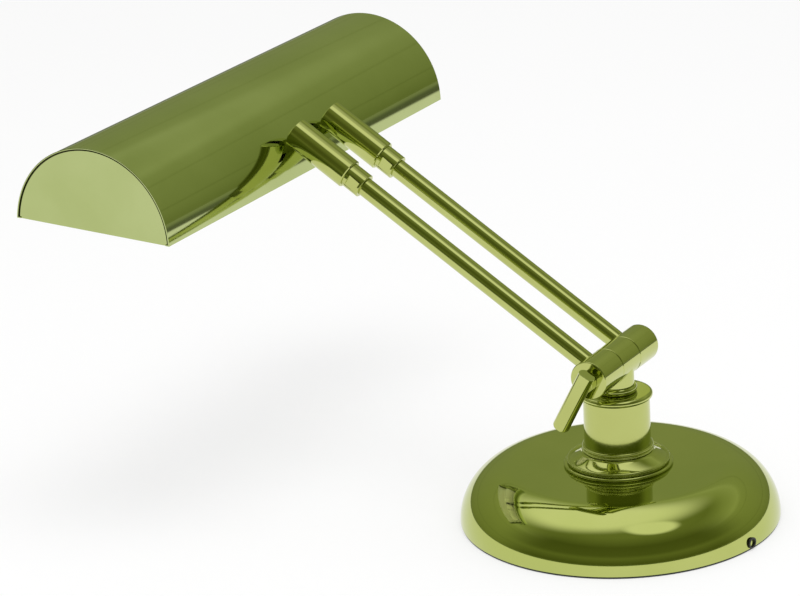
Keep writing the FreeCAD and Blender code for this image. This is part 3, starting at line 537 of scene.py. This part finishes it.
POST_WALL = 1.6 * MM
post_low, post_top = level("post_tube", False), level("post_tube")
post_rings = [(POST - POST_WALL, post_low)]
post_rings += [(POST, post_low + (post_top - post_low) * step / 6) for step in range(7)]
post_rings += [(POST - POST_WALL, post_top)]
post_tube = turned("post_tube_drawn", post_rings, sides=160, closed=True)
soften(post_tube, 0.1 * MM, 2, 40)
stand_for(post_tube, "post_tube", "root", "turned_brass")

CAP_BORE, CAP_FIT, CAP_EASE = 9.05 * MM, 0.05 * MM, 0.6 * MM
spigot_low, cap_low, cap_top = level("post_cap", False), post_top, level("post_cap")
spigot = POST - POST_WALL - CAP_FIT
cap_half = (cap_top - cap_low) / 2
cap_rings = [(CAP_BORE, spigot_low), (spigot, spigot_low), (spigot, cap_low),
             (CAP - cap_half, cap_low)]
cap_rings += arc((CAP - cap_half, cap_low + cap_half), cap_half, -80, 80, 16)
cap_rings += [(CAP - cap_half - CAP_EASE, cap_top), (CAP_BORE, cap_top)]
post_cap = turned("post_cap_turned", cap_rings, sides=160, closed=True)
soften(post_cap, 0.1 * MM, 2, 50)
stand_for(post_cap, "post_cap", "root", "turned_brass")

# %% [markdown]
# ## Swivel and barrel
# The neck turns in the cap and carries the middle third of the barrel. The outer
# thirds belong to the arms, and the three meet at fine seams, with a small
# chamfer on each side. The thirds are turned upright and laid along X.

# %% Collar, neck and barrel
collar_low, collar_top = level("swivel_collar", False), level("swivel_collar")
COLLAR, COLLAR_BORE, COLLAR_EDGE, COLLAR_ROUND = 14.0 * MM, 9.1 * MM, 0.8 * MM, 2.4 * MM
collar_middle = (collar_low + collar_top) / 2
collar_rings = [(COLLAR_BORE, collar_low), (COLLAR - COLLAR_EDGE, collar_low)]
collar_rings += arc((COLLAR - COLLAR_ROUND, collar_middle), COLLAR_ROUND, -60, 60, 12)
collar_rings += [(COLLAR - COLLAR_EDGE, collar_top), (COLLAR_BORE, collar_top)]
collar = turned("swivel_collar_turned", collar_rings, sides=128, closed=True)
soften(collar, 0.1 * MM, 2, 40)
stand_for(collar, "swivel_collar", "swivel", "turned_brass")

BARREL, STUD_HOLE = 12.7 * MM, 4.05 * MM
SEAM, MIDDLE_FACE, OUTER_FACE = 0.45 * MM, 12.35 * MM, 12.65 * MM
along_x = Matrix.Rotation(math.radians(90), 4, "Y")
at_barrel = Matrix.Translation(Vector((0, barrel.y, barrel.z))) @ along_x


def barrel_third(name, start, end):
    """One third of the barrel, from start to end along X."""
    rings = [(STUD_HOLE, start), (BARREL - SEAM, start), (BARREL, start + SEAM)]
    rings += [(BARREL, start + (end - start) * step / 4) for step in range(1, 4)]
    rings += [(BARREL, end - SEAM), (BARREL - SEAM, end), (STUD_HOLE, end)]
    third = turned(name, rings, sides=128, closed=True)
    soften(third, 0.12 * MM, 2, 40)
    lay(third, at_barrel)
    return third


middle = barrel_third("center_barrel", -MIDDLE_FACE, MIDDLE_FACE)
NECK, SHANK, WIRE_HOLE, SHANK_EDGE, NECK_STOP = 12.2 * MM, 9.0 * MM, 3.2 * MM, 0.5 * MM, 3 * MM
shank_low, neck_top = level("center_knuckle", False), barrel.z - NECK_STOP
neck_rings = [(WIRE_HOLE, shank_low), (SHANK - SHANK_EDGE, shank_low),
              (SHANK, shank_low + SHANK_EDGE), (SHANK, collar_top), (NECK, collar_top),
              (NECK, neck_top), (WIRE_HOLE, neck_top)]
neck = turned("center_neck", neck_rings, sides=128, closed=True)
soften(neck, 0.2 * MM, 2, 40)
join(middle, neck)
stand_for(middle, "center_knuckle", "swivel", "turned_brass")

PLUG, PLUG_HOLE, PLUG_THICK = 4.3 * MM, 1 * MM, 1 * MM
barrel_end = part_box("near_knuckle")[1][0]
for word, side in SIDES:
    span = sorted((OUTER_FACE * side, barrel_end * side))
    third = barrel_third(f"{word}_barrel", *span)
    if word == "far":
        plug_in = PLUG_THICK - barrel_end
        plug = turned("far_barrel_end", [(PLUG_HOLE, -barrel_end), (PLUG, -barrel_end),
                                         (PLUG, plug_in), (PLUG_HOLE, plug_in)], sides=48)
        lay(plug, at_barrel)
        join(third, plug)
    stand_for(third, f"{word}_knuckle", "arms", "turned_brass")

# %% [markdown]
# ## Arms, ferrules and sleeves
# Each arm is a half-inch tube that enters the barrel at one end and a ferrule at
# the other. The ferrule is round with two milled flats for a wrench, which are
# two block cuts. The sleeve over it is a plain heavy tube, slotted underneath for
# the shade's lug, and its end is cut square.

# %% Tubes, ferrules and sleeves
TUBE, TUBE_BORE, TUBE_AT = 6.35 * MM, 5.35 * MM, 9 * MM
FERRULE, FERRULE_AT, FERRULE_EDGE, FIT = 8.5 * MM, 200.4 * MM, 0.5 * MM, 0.05 * MM
SPIGOT, SPIGOT_END = 7.4 * MM, 226 * MM
FLAT_FROM, FLAT_LONG, FLAT_HALF = 1.8 * MM, 8.6 * MM, 7.4 * MM
SLEEVE, SLEEVE_AT, SLEEVE_LONG = 10.2 * MM, 213.6 * MM, 47.4 * MM
SLEEVE_FRONT_EDGE, SLEEVE_BACK_EDGE, SOLID_FROM = 0.6 * MM, 0.5 * MM, 229 * MM
SLOT_HALF, SLOT_BACK, SLOT_DEEP, PIN_BACK = 3.3 * MM, 7.2 * MM, 6.5 * MM, 8.5 * MM
CUT_OUT = 12 * MM
sleeve_top = SLEEVE_AT + SLEEVE_LONG


def make_tube(word):
    """A thin tube from the barrel to the sleeve."""
    lengths = [TUBE_AT + (SLEEVE_AT - TUBE_AT) * step / 12 for step in range(13)]
    rings = [(TUBE_BORE, TUBE_AT), *((TUBE, length) for length in lengths), (TUBE_BORE, SLEEVE_AT)]
    tube = turned(f"{word}_tube_drawn", rings, sides=96, closed=True)
    soften(tube, 0.1 * MM, 2, 40)
    return tube


def make_ferrule(word):
    """A collar on the tube, with two flats for a wrench and a spigot behind it."""
    rings = [(TUBE + FIT, FERRULE_AT), (FERRULE - FERRULE_EDGE, FERRULE_AT)]
    rings += arc((FERRULE - FERRULE_EDGE, FERRULE_AT + FERRULE_EDGE), FERRULE_EDGE, -60, 0, 4)
    rings += [(FERRULE, SLEEVE_AT), (SPIGOT, SLEEVE_AT), (SPIGOT, SPIGOT_END),
              (TUBE + FIT, SPIGOT_END)]
    ferrule = turned(f"{word}_ferrule_milled", rings, sides=96, closed=True)
    flat_at = FERRULE_AT + FLAT_FROM
    for direction in (1, -1):
        low_x, high_x = sorted((FLAT_HALF * direction, CUT_OUT * direction))
        carve(ferrule, cube("flat_cutter", (low_x, -CUT_OUT, flat_at),
                            (high_x, CUT_OUT, flat_at + FLAT_LONG)))
    tidy_mesh(ferrule)
    soften(ferrule, 0.12 * MM, 2, 25)
    return ferrule


def make_sleeve(word):
    """A heavy tube over the spigot, slotted for the shade's lug."""
    rings = [(SPIGOT + FIT, SLEEVE_AT), (SLEEVE - SLEEVE_FRONT_EDGE, SLEEVE_AT),
             (SLEEVE, SLEEVE_AT + SLEEVE_FRONT_EDGE)]
    rings += [(SLEEVE, SLEEVE_AT + SLEEVE_LONG * step / 6) for step in range(1, 6)]
    rings += [(SLEEVE, sleeve_top - SLEEVE_BACK_EDGE), (SLEEVE - SLEEVE_BACK_EDGE, sleeve_top),
              (WIRE_HOLE, sleeve_top), (WIRE_HOLE, SOLID_FROM), (SPIGOT + FIT, SOLID_FROM)]
    sleeve = turned(f"{word}_sleeve_slotted", rings, sides=96, closed=True)
    carve(sleeve, cube("slot_cutter", (-SLOT_HALF, -CUT_OUT, sleeve_top - PIN_BACK - SLOT_BACK),
                       (SLOT_HALF, SLOT_DEEP, sleeve_top + CUT_OUT)))
    tidy_mesh(sleeve)
    soften(sleeve, 0.15 * MM, 2, 30)
    return sleeve


for word, side in SIDES:
    for make, node in ((make_tube, "tube"), (make_ferrule, "ferrule"), (make_sleeve, "sleeve")):
        piece = make(word)
        lay(piece, on_arm(side))
        stand_for(piece, f"{word}_{node}", "arms", "turned_brass")

# %% [markdown]
# ## The clamp lever
# The lever is a round rod with its outer side milled flat, a square top and a
# rounded foot. The rod is turned with its foot as an arc, and a bisect plane
# slices the flat and fills the cut. A short round stem joins it to the barrel.

# %% Lever
LEVER, LEVER_FLAT, LEVER_TOP, LEVER_DROP = 5.6 * MM, 4.35 * MM, 8.6 * MM, 36.0 * MM
LEVER_GAP, LEVER_LEAN = 3.6 * MM, math.radians(28)
FOOT_ROUND = 2.4 * MM
STEM, STEM_HOLE, STEM_SINK, STEM_INSIDE = 6.2 * MM, 4.0 * MM, 0.3 * MM, 2 * MM
lever_rings = [(LEVER - FOOT_ROUND, -LEVER_DROP)]
lever_rings += arc((LEVER - FOOT_ROUND, FOOT_ROUND - LEVER_DROP), FOOT_ROUND, -80, 0, 8)
lever_rings += [(LEVER, height) for height in (-30 * MM, -15 * MM, 0, LEVER_TOP)]
lever = turned("clamp_lever_milled", lever_rings, sides=96)
edit(lever)
bpy.ops.mesh.select_all(action="SELECT")
bpy.ops.mesh.bisect(plane_co=(LEVER_FLAT, 0, 0), plane_no=(1, 0, 0), use_fill=True,
                    clear_outer=True)
leave()
tidy_mesh(lever)
soften(lever, 0.25 * MM, 3, 25)
stem_start = STEM_SINK - LEVER_GAP - LEVER
stem = turned("lever_stem", [(STEM_HOLE, stem_start), (STEM, stem_start), (STEM, -STEM_INSIDE),
                             (STEM_HOLE, -STEM_INSIDE)], sides=64, closed=True)
soften(stem, 0.3 * MM, 3, 40)
lay(stem, along_x)
join(lever, stem)
lever_place = Vector((barrel_end + LEVER_GAP + LEVER, barrel.y, barrel.z))
lay(lever, Matrix.Translation(lever_place) @ Matrix.Rotation(-LEVER_LEAN, 4, "X"))
stand_for(lever, "clamp_lever", "clamp", "turned_brass")

# %% [markdown]
# ## The shade
# The shade is sheet brass rolled to a half round, with its long edges folded in
# as a narrow hem. An open cylinder is laid along X and bisected a little above
# its axis, the hem is an extrusion of the two long cut edges, and Solidify gives
# the sheet its thickness inwards. Many sides keep the reflections smooth. The
# inside is enamelled white to throw the light down, so a thin sheet lines it.

# %% Shade shell and lining
SHADE_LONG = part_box("shade_shell")[1][0] * 2
HEM = 3.0 * MM
LINING_GAP, LINING_THICK, LINING_SHORT, LINING_RISE = 0.15 * MM, 0.2 * MM, 14 * MM, 0.2 * MM
LINING_PINCH = 0.994
TOUCHING = 0.001 * MM
ALONG = 10 * MM


def half_round(name, radius, length, sides=256):
    """An open half-round sheet along X with its centre at the origin."""
    select_only()
    bpy.ops.mesh.primitive_cylinder_add(vertices=sides, radius=radius, depth=length,
                                        end_fill_type="NOTHING",
                                        rotation=(0, math.radians(90), 0))
    sheet = bpy.context.object
    sheet.name = name
    lay(sheet)
    edit(sheet)
    bpy.ops.mesh.select_all(action="SELECT")
    bpy.ops.mesh.bisect(plane_co=(0, 0, MOUTH_OFFSET), plane_no=(0, 0, 1), clear_inner=True)
    leave()
    return sheet


def hem_edges(sheet):
    """Enter edit mode with the two long cut edges selected."""
    edit(sheet, "EDGE")
    leave()
    points = sheet.data.vertices
    for edge in sheet.data.edges:
        first, second = (points[i].co for i in edge.vertices)
        at_mouth = max(first.z, second.z) < MOUTH_OFFSET + TOUCHING
        edge.select = at_mouth and abs(first.x - second.x) > ALONG
    bpy.ops.object.mode_set(mode="EDIT")


shade = half_round("shade_shell_rolled", SHADE_RADIUS, SHADE_LONG)
hem_edges(shade)
bpy.ops.mesh.extrude_region_move(TRANSFORM_OT_translate={"value": (0, 0, 0)})
bpy.ops.transform.resize(value=(1, 1 - HEM / SHADE_RADIUS, 1), center_override=(0, 0, 0))
leave()
apply_modifier(shade, "SOLIDIFY", thickness=SHADE_WALL, offset=-1, use_even_offset=True)
tidy_mesh(shade)
soften(shade, 0.2 * MM, 2, 40)
lay(shade, in_shade)
stand_for(shade, "shade_shell", "shade", "rolled_brass")

lining = half_round("shade_lining", SHADE_RADIUS - SHADE_WALL - LINING_GAP,
                    SHADE_LONG - LINING_SHORT, 128)
apply_modifier(lining, "SOLIDIFY", thickness=LINING_THICK, offset=-1)
tidy_mesh(lining)
shade_true(lining)
lining_place = in_shade @ Matrix.Translation(Vector((0, 0, LINING_RISE)))
lay(lining, lining_place @ Matrix.Scale(LINING_PINCH, 4, (0, 1, 0)))
dress(lining, "white_enamel")
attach(lining, "shade")
report(lining)

# %% [markdown]
# ## Shade ends
# Each end is a flat plate set just inside the shell's edge, and a fine dark
# groove shows all round its arc. A filled circle is bisected to the same half
# round, extruded to its thickness and inset on its inner face. A half-round
# strip behind it is its turned-back lip, painted near black as painted shade
# because it lies in the groove.

# %% End plates
INNER = SHADE_RADIUS - SHADE_WALL
END_GROOVE, END_INSET, END_THICK, END_HOLLOW = 1.1 * MM, 0.7 * MM, 1.0 * MM, 0.6 * MM
END_LIP, LIP_THICK, LIP_FIT = 6.0 * MM, 1.6 * MM, 0.05 * MM
plate_at = SHADE_LONG / 2 - END_INSET
lip_at = plate_at - (END_LIP + END_THICK) / 2
for word, side in SIDES:
    select_only()
    bpy.ops.mesh.primitive_circle_add(vertices=192, radius=INNER - END_GROOVE, fill_type="NGON",
                                      rotation=(0, math.radians(90), 0))
    plate = bpy.context.object
    plate.name = f"{word}_shade_end_plate"
    lay(plate)
    edit(plate)
    bpy.ops.mesh.select_all(action="SELECT")
    bpy.ops.mesh.bisect(plane_co=(0, 0, MOUTH_OFFSET), plane_no=(0, 0, 1), clear_inner=True)
    bpy.ops.mesh.select_all(action="SELECT")
    bpy.ops.mesh.extrude_region_move(TRANSFORM_OT_translate={"value": (-END_THICK * side, 0, 0)})
    bpy.ops.mesh.inset(thickness=END_THICK)
    bpy.ops.mesh.extrude_region_move(TRANSFORM_OT_translate={"value": (END_HOLLOW * side, 0, 0)})
    leave()
    tidy_mesh(plate)
    soften(plate, 0.15 * MM, 2, 40)
    lip = half_round(f"{word}_shade_lip", INNER - LIP_FIT, END_LIP - END_THICK, 192)
    apply_modifier(lip, "SOLIDIFY", thickness=LIP_THICK, offset=-1)
    tidy_mesh(lip)
    soften(lip, 0.1 * MM, 1, 40)
    # painted shade: the lip is painted near black for the shadow in the groove
    dress(lip, "painted_shade_brass")
    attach(lip, "shade")
    lay(lip, in_shade @ Matrix.Translation(Vector((lip_at * side, 0, 0))))
    report(lip)
    lay(plate, in_shade @ Matrix.Translation(Vector((plate_at * side, 0, 0))))
    stand_for(plate, f"{word}_shade_end", "shade", "rolled_brass")

# %% [markdown]
# ## Bulbs and sockets
# Two tubular bulbs lie end to end under the shade. The glass is drawn down to a
# neck and has a round tip, the cap has rolled threads, and the socket is a
# moulded cup with a grooved grip. Each is turned upright and laid along the
# shade, the far one facing the other way.

# %% Inside the shade
HOLDER_RISE = 26.0 * MM
SOCKET_AT, CAP_AT, GLASS_AT = 12.5 * MM, 21.7 * MM, 48.8 * MM
SOCKET, SOCKET_EDGE, SOCKET_BORE, SOCKET_FLOOR = 17 * MM, 1.5 * MM, 13.8 * MM, 21.5 * MM
SOCKET_END, SOCKET_ROUND = 48.5 * MM, 0.6 * MM
GRIP_FROM, GRIP_PITCH, GRIP_WIDTH, GRIP_DEEP = 5 * MM, 2.4 * MM, 1.2 * MM, 0.5 * MM
THREAD, THREAD_FROM, THREAD_PITCH, THREAD_ROUND = 12.4 * MM, 5 * MM, 3.4 * MM, 0.6 * MM
CONTACT, CONTACT_HOLE, CAP_TAPER, CAP_WALL = 5.2 * MM, 2.2 * MM, 3.8 * MM, 0.8 * MM
BULB, BULB_NECK, BULB_LONG, BULB_SWELL = 16 * MM, 11 * MM, 108 * MM, 9 * MM


def make_socket(word):
    """A moulded cup with four grip grooves."""
    rings = [(WIRE_HOLE, SOCKET_AT), (SOCKET - SOCKET_EDGE, SOCKET_AT),
             (SOCKET, SOCKET_AT + SOCKET_EDGE)]
    for groove in range(4):
        spot = SOCKET_AT + GRIP_FROM + groove * GRIP_PITCH
        rings += [(SOCKET, spot), (SOCKET - GRIP_DEEP, spot + GRIP_WIDTH / 2),
                  (SOCKET, spot + GRIP_WIDTH)]
    rings += [(SOCKET, SOCKET_END - 1 * MM), (SOCKET - SOCKET_ROUND, SOCKET_END),
              (SOCKET_BORE + SOCKET_ROUND, SOCKET_END), (SOCKET_BORE, SOCKET_END - 0.9 * MM),
              (SOCKET_BORE, SOCKET_FLOOR), (WIRE_HOLE, SOCKET_FLOOR)]
    socket = turned(f"{word}_socket_moulded", rings, sides=96, closed=True)
    soften(socket, 0.2 * MM, 2, 40)
    return socket


def make_bulb_cap(word):
    """A metal cap with a contact at its foot and six rolled threads."""
    rings = [(CONTACT_HOLE, CAP_AT), (CONTACT, CAP_AT), (THREAD, CAP_AT + CAP_TAPER)]
    for thread in range(6):
        spot = CAP_AT + THREAD_FROM + thread * THREAD_PITCH
        rings += arc((THREAD, spot + THREAD_PITCH / 4), THREAD_ROUND, -80, 80, 4)
        rings += [(THREAD - 0.05 * MM, spot + 2.4 * MM)]
    rings += [(THREAD, GLASS_AT), (THREAD - CAP_WALL, GLASS_AT),
              (THREAD - CAP_WALL, CAP_AT + THREAD_FROM), (CONTACT_HOLE, CAP_AT + 2 * MM)]
    bulb_cap = turned(f"{word}_bulb_cap_rolled", rings, sides=64, closed=True)
    soften(bulb_cap, 0.05 * MM, 1, 60)
    return bulb_cap


def make_bulb(word):
    """A tube of glass that swells from its neck and ends in a round tip."""
    glass_end = GLASS_AT + BULB_LONG
    rings = [(BULB_NECK - 0.8 * MM, GLASS_AT)]
    for step in range(9):
        share = step / 8
        rise = 0.5 - 0.5 * math.cos(math.pi * share)
        rings.append((BULB_NECK + (BULB - BULB_NECK) * rise,
                      GLASS_AT + 1 * MM + BULB_SWELL * share))
    rings += [(BULB, GLASS_AT + 45 * MM), (BULB, glass_end - BULB)]
    rings += arc((0, glass_end - BULB), BULB, 6, 86, 16)
    bulb = turned(f"{word}_bulb_blown", rings, sides=96)
    soften(bulb, 0.1 * MM, 1, 60)
    return bulb


for word, side in SIDES:
    holder = in_shade @ Matrix.Translation(Vector((0, 0, HOLDER_RISE)))
    holder = holder @ Matrix.Rotation(math.radians(90 * side), 4, "Y")
    for make, node, finish in ((make_socket, "socket", "socket_shell"),
                               (make_bulb_cap, "bulb_cap", "bulb_cap"),
                               (make_bulb, "bulb", "bulb_glass")):
        piece = make(word)
        lay(piece, holder)
        stand_for(piece, f"{word}_{node}", "shade", finish)

# %% [markdown]
# ## The switch knob
# The knob is a small moulded cap on a spindle. It is turned with a tapered wall,
# and every other face of the wall is pulled inwards, which gives it flutes that
# a finger can grip.

# %% Knob
SWITCH_AT = 12.0 * MM
KNOB, KNOB_TOP, KNOB_TALL, KNOB_ROUND = 8.0 * MM, 13.3 * MM, 8.6 * MM, 1.0 * MM
KNOB_FOOT, KNOB_SIDES = 6.6 * MM, 48
FLUTE_EDGE, FLUTE_DEEP = 0.12 * MM, 0.3 * MM
SPINDLE, SPINDLE_HOLE, SPINDLE_SINK, SPINDLE_OUT = 2.6 * MM, 0.5 * MM, 0.5 * MM, 3 * MM
knob_low = KNOB_TOP - KNOB_TALL
knob = turned("switch_knob_fluted", [(KNOB_FOOT, knob_low), (KNOB_FOOT + 1 * MM, knob_low + 0.8 * MM),
                                     (KNOB, KNOB_TOP - 1.2 * MM), (KNOB - KNOB_ROUND, KNOB_TOP)],
              sides=KNOB_SIDES)
edit(knob, "FACE")
leave()
for face in knob.data.polygons:
    turn = math.atan2(face.center.y, face.center.x) + math.pi
    is_wall = abs(face.normal.z) < 0.3 and face.center.xy.length > KNOB * 0.9
    face.select = is_wall and round(turn / math.tau * KNOB_SIDES) % 2 == 0
bpy.ops.object.mode_set(mode="EDIT")
bpy.ops.mesh.inset(thickness=FLUTE_EDGE, depth=-FLUTE_DEEP, use_individual=True)
leave()
soften(knob, 0.08 * MM, 1, 50)
spindle_low, spindle_high = KNOB_TOP - SPINDLE_SINK, KNOB_TOP + SPINDLE_OUT
spindle = turned("knob_spindle", [(SPINDLE_HOLE, spindle_low), (SPINDLE, spindle_low),
                                  (SPINDLE, spindle_high), (SPINDLE_HOLE, spindle_high)],
                 sides=32, closed=True)
join(knob, spindle)
lay(knob, in_shade @ Matrix.Translation(Vector((0, SWITCH_AT, 0))))
stand_for(knob, "switch_knob", "knob", "black_plastic")

# %% [markdown]
# ## The floor
# Polished metal is a picture of its room, so the room is the real material here.
# The floor is a sheet of pale paper near the lamp, and gives the light undersides
# and the bright post. Mirrors see the sheet end about a metre and a half away,
# where a dark floor begins. The camera sees it white all over, but for the shadow
# that the lamp casts on it.

# %% Floor
FLOOR_WIDE = 16.0
PAPER, DARK, DIM = (0.93, 0.93, 0.93), (0.07, 0.08, 0.03), (0.24, 0.27, 0.14)
FLOOR_STOPS = [(0.0, PAPER), (0.17, PAPER), (0.20, DARK), (0.30, (0.08, 0.10, 0.04)),
               (0.50, DIM), (1.0, (0.28, 0.31, 0.16))]
select_only()
bpy.ops.mesh.primitive_plane_add(size=FLOOR_WIDE, location=(0, 0, 0))
floor = bpy.context.object
floor.name = "floor"
floor_finish = Finish("floor_paper", Roughness=0.9)
tooth = floor_finish.noise(floor_finish.place(), 3.0, 2.0)
floor_tone = floor_finish.mix(tooth, (0.95, 0.95, 0.95, 1), (0.93, 0.93, 0.93, 1))
floor_finish.set("Base Color", floor_tone)
floor_finish.glow(0.6, FLOOR_WIDE / 2, 0.92, FLOOR_STOPS)
floor.data.materials.append(floor_finish.material)
print("floor:", FLOOR_WIDE, "m wide")

# %% [markdown]
# ## What the metal sees
# Three things are read off the photograph. The top of the base mirrors the far
# wall and is a middling green-gold. The front of its shoulder mirrors the
# ceiling and is bright and soft-edged. The tubes mirror the room behind the
# camera and are dark, with one thin bright line from a ceiling lamp. So the
# room is drawn as two gradients from floor to ceiling, one for the far side and
# one for the camera's side, blended around, with two soft bright patches above.
# Mirrors alone see it: dull surfaces get an even light, and the camera sees white.

# %% World
def tint(level):
    """The room's dim parts are warm, its bright parts are white."""
    return (level * (0.72 + 0.28 * level), level * (0.88 + 0.12 * level),
            level * (0.10 + 0.90 * level), 1.0)


def room_ramp(tree, height, stops):
    """Grey levels from the horizon up, by the height of a direction."""
    ramp = tree.nodes.new("ShaderNodeValToRGB")
    while len(ramp.color_ramp.elements) < len(stops):
        ramp.color_ramp.elements.new(1.0)
    for element, (place, level) in zip(ramp.color_ramp.elements, stops):
        element.position = place
        element.color = tint(level)
    tree.links.new(height, ramp.inputs[0])
    return ramp.outputs[0]


def blend(tree, amount, first, second):
    """Mix two colours, each a socket or a value, by a socket or a value."""
    node = tree.nodes.new("ShaderNodeMix")
    node.data_type = "RGBA"
    for socket, value in zip((node.inputs["Factor"], node.inputs[6], node.inputs[7]),
                             (amount, first, second)):
        if isinstance(value, bpy.types.NodeSocket):
            tree.links.new(value, socket)
        else:
            socket.default_value = value
    return node.outputs[2]


def towards(tree, direction, line, dark, bright):
    """How far a direction turns to one line, eased from dark to bright."""
    facing = tree.nodes.new("ShaderNodeVectorMath")
    facing.operation = "DOT_PRODUCT"
    facing.inputs[1].default_value = line
    tree.links.new(direction, facing.inputs[0])
    eased = tree.nodes.new("ShaderNodeMapRange")
    eased.interpolation_type = "SMOOTHSTEP"
    eased.inputs["From Min"].default_value = dark
    eased.inputs["From Max"].default_value = bright
    tree.links.new(facing.outputs["Value"], eased.inputs["Value"])
    return eased.outputs["Result"]


FAR_WALL = [(0.0, 0.27), (0.10, 0.31), (0.165, 0.33), (0.175, 0.25), (0.185, 0.33), (0.44, 0.37),
            (0.465, 0.38), (0.472, 0.30), (0.48, 0.38), (0.54, 0.40), (0.58, 0.48), (0.70, 0.38),
            (0.80, 0.24)]
NEAR_WALL = [(0.0, 0.20), (0.05, 0.13), (0.25, 0.22), (0.35, 0.15), (0.60, 0.13), (0.85, 0.26)]
TO_CAMERA, TO_CEILING, TO_LAMP = (0.862, 0.507, 0), (-0.16, -0.25, 0.955), (0.083, 0.330, 0.940)
EVEN, WHITE = (0.80, 0.80, 0.80, 1), (1, 1, 1, 1)

world = bpy.data.worlds.new("studio")
bpy.context.scene.world = world
world.use_nodes = True
sky = world.node_tree
ray = sky.nodes.new("ShaderNodeTexCoord").outputs["Generated"]
split = sky.nodes.new("ShaderNodeSeparateXYZ")
sky.links.new(ray, split.inputs[0])
far_wall = room_ramp(sky, split.outputs["Z"], FAR_WALL)
near_wall = room_ramp(sky, split.outputs["Z"], NEAR_WALL)
room = blend(sky, towards(sky, ray, TO_CAMERA, -0.3, 0.45), far_wall, near_wall)
room = blend(sky, towards(sky, ray, TO_CEILING, 0.76, 0.95), room, WHITE)
room = blend(sky, towards(sky, ray, TO_LAMP, 0.962, 0.985), room, WHITE)
path = sky.nodes.new("ShaderNodeLightPath")
seen = blend(sky, path.outputs["Is Glossy Ray"], EVEN, room)
seen = blend(sky, path.outputs["Is Camera Ray"], seen, WHITE)
background = sky.nodes["Background"]
sky.links.new(seen, background.inputs["Color"])
background.inputs["Strength"].default_value = 1.0
print("room levels:", len(FAR_WALL), "on the far side,", len(NEAR_WALL), "on the near side")

# %% [markdown]
# ## The lamp overhead
# A picture taken in a plain studio has one broad soft source above. It is wide
# and far enough that the shadow on the floor has no hard edge. Its own shape is
# kept out of the mirror, since the room already holds the bright ceiling.

# %% Lamps
def softbox(name, place, aim, wide, tall, watts):
    """A rectangular lamp that points at a spot."""
    select_only()
    bpy.ops.object.light_add(type="AREA", location=place)
    lamp = bpy.context.object
    lamp.name = name
    lamp.data.shape = "RECTANGLE"
    lamp.data.size, lamp.data.size_y = wide, tall
    lamp.data.energy = watts
    lamp.rotation_euler = (Vector(aim) - Vector(place)).to_track_quat("-Z", "Y").to_euler()
    return lamp


overhead = softbox("overhead_box", (0.5, 0.3, 2.6), (0, -0.1, 0.1), 1.6, 1.2, 26)
overhead.visible_glossy = False
print("lamp:", overhead.name, overhead.data.energy, "W")

# %% [markdown]
# ## The camera
# The photograph was taken from behind and beside the lamp with a long lens. The
# camera's place, its small turn on its own axis and its lens were found together,
# by matching the picture's edges and round rims to the model's real sizes.

# %% Camera
CAMERA_AT = Vector((1.9177, 0.9696, 0.8956))
AZIMUTH, ELEVATION, ROLL = (math.radians(angle) for angle in (120.49, 18.93, -3.19))
LENS = 157.8
across = math.cos(ELEVATION)
ahead = Vector((-math.sin(AZIMUTH) * across, math.cos(AZIMUTH) * across, -math.sin(ELEVATION)))
level_right = ahead.cross(Vector((0, 0, 1))).normalized()
level_up = level_right.cross(ahead)
right = level_right * math.cos(ROLL) + level_up * math.sin(ROLL)
up = level_up * math.cos(ROLL) - level_right * math.sin(ROLL)
bpy.ops.object.camera_add()
camera = bpy.context.object
camera_turn = Matrix((right, up, -ahead)).transposed().to_4x4()
camera.matrix_world = Matrix.Translation(CAMERA_AT) @ camera_turn
camera.data.lens = LENS
camera.data.clip_end = 50
camera.data.dof.use_dof = False
bpy.context.scene.camera = camera
bpy.context.scene.view_settings.view_transform = "Standard"
print("camera:", round(CAMERA_AT.length, 2), "m away, lens", LENS, "mm")
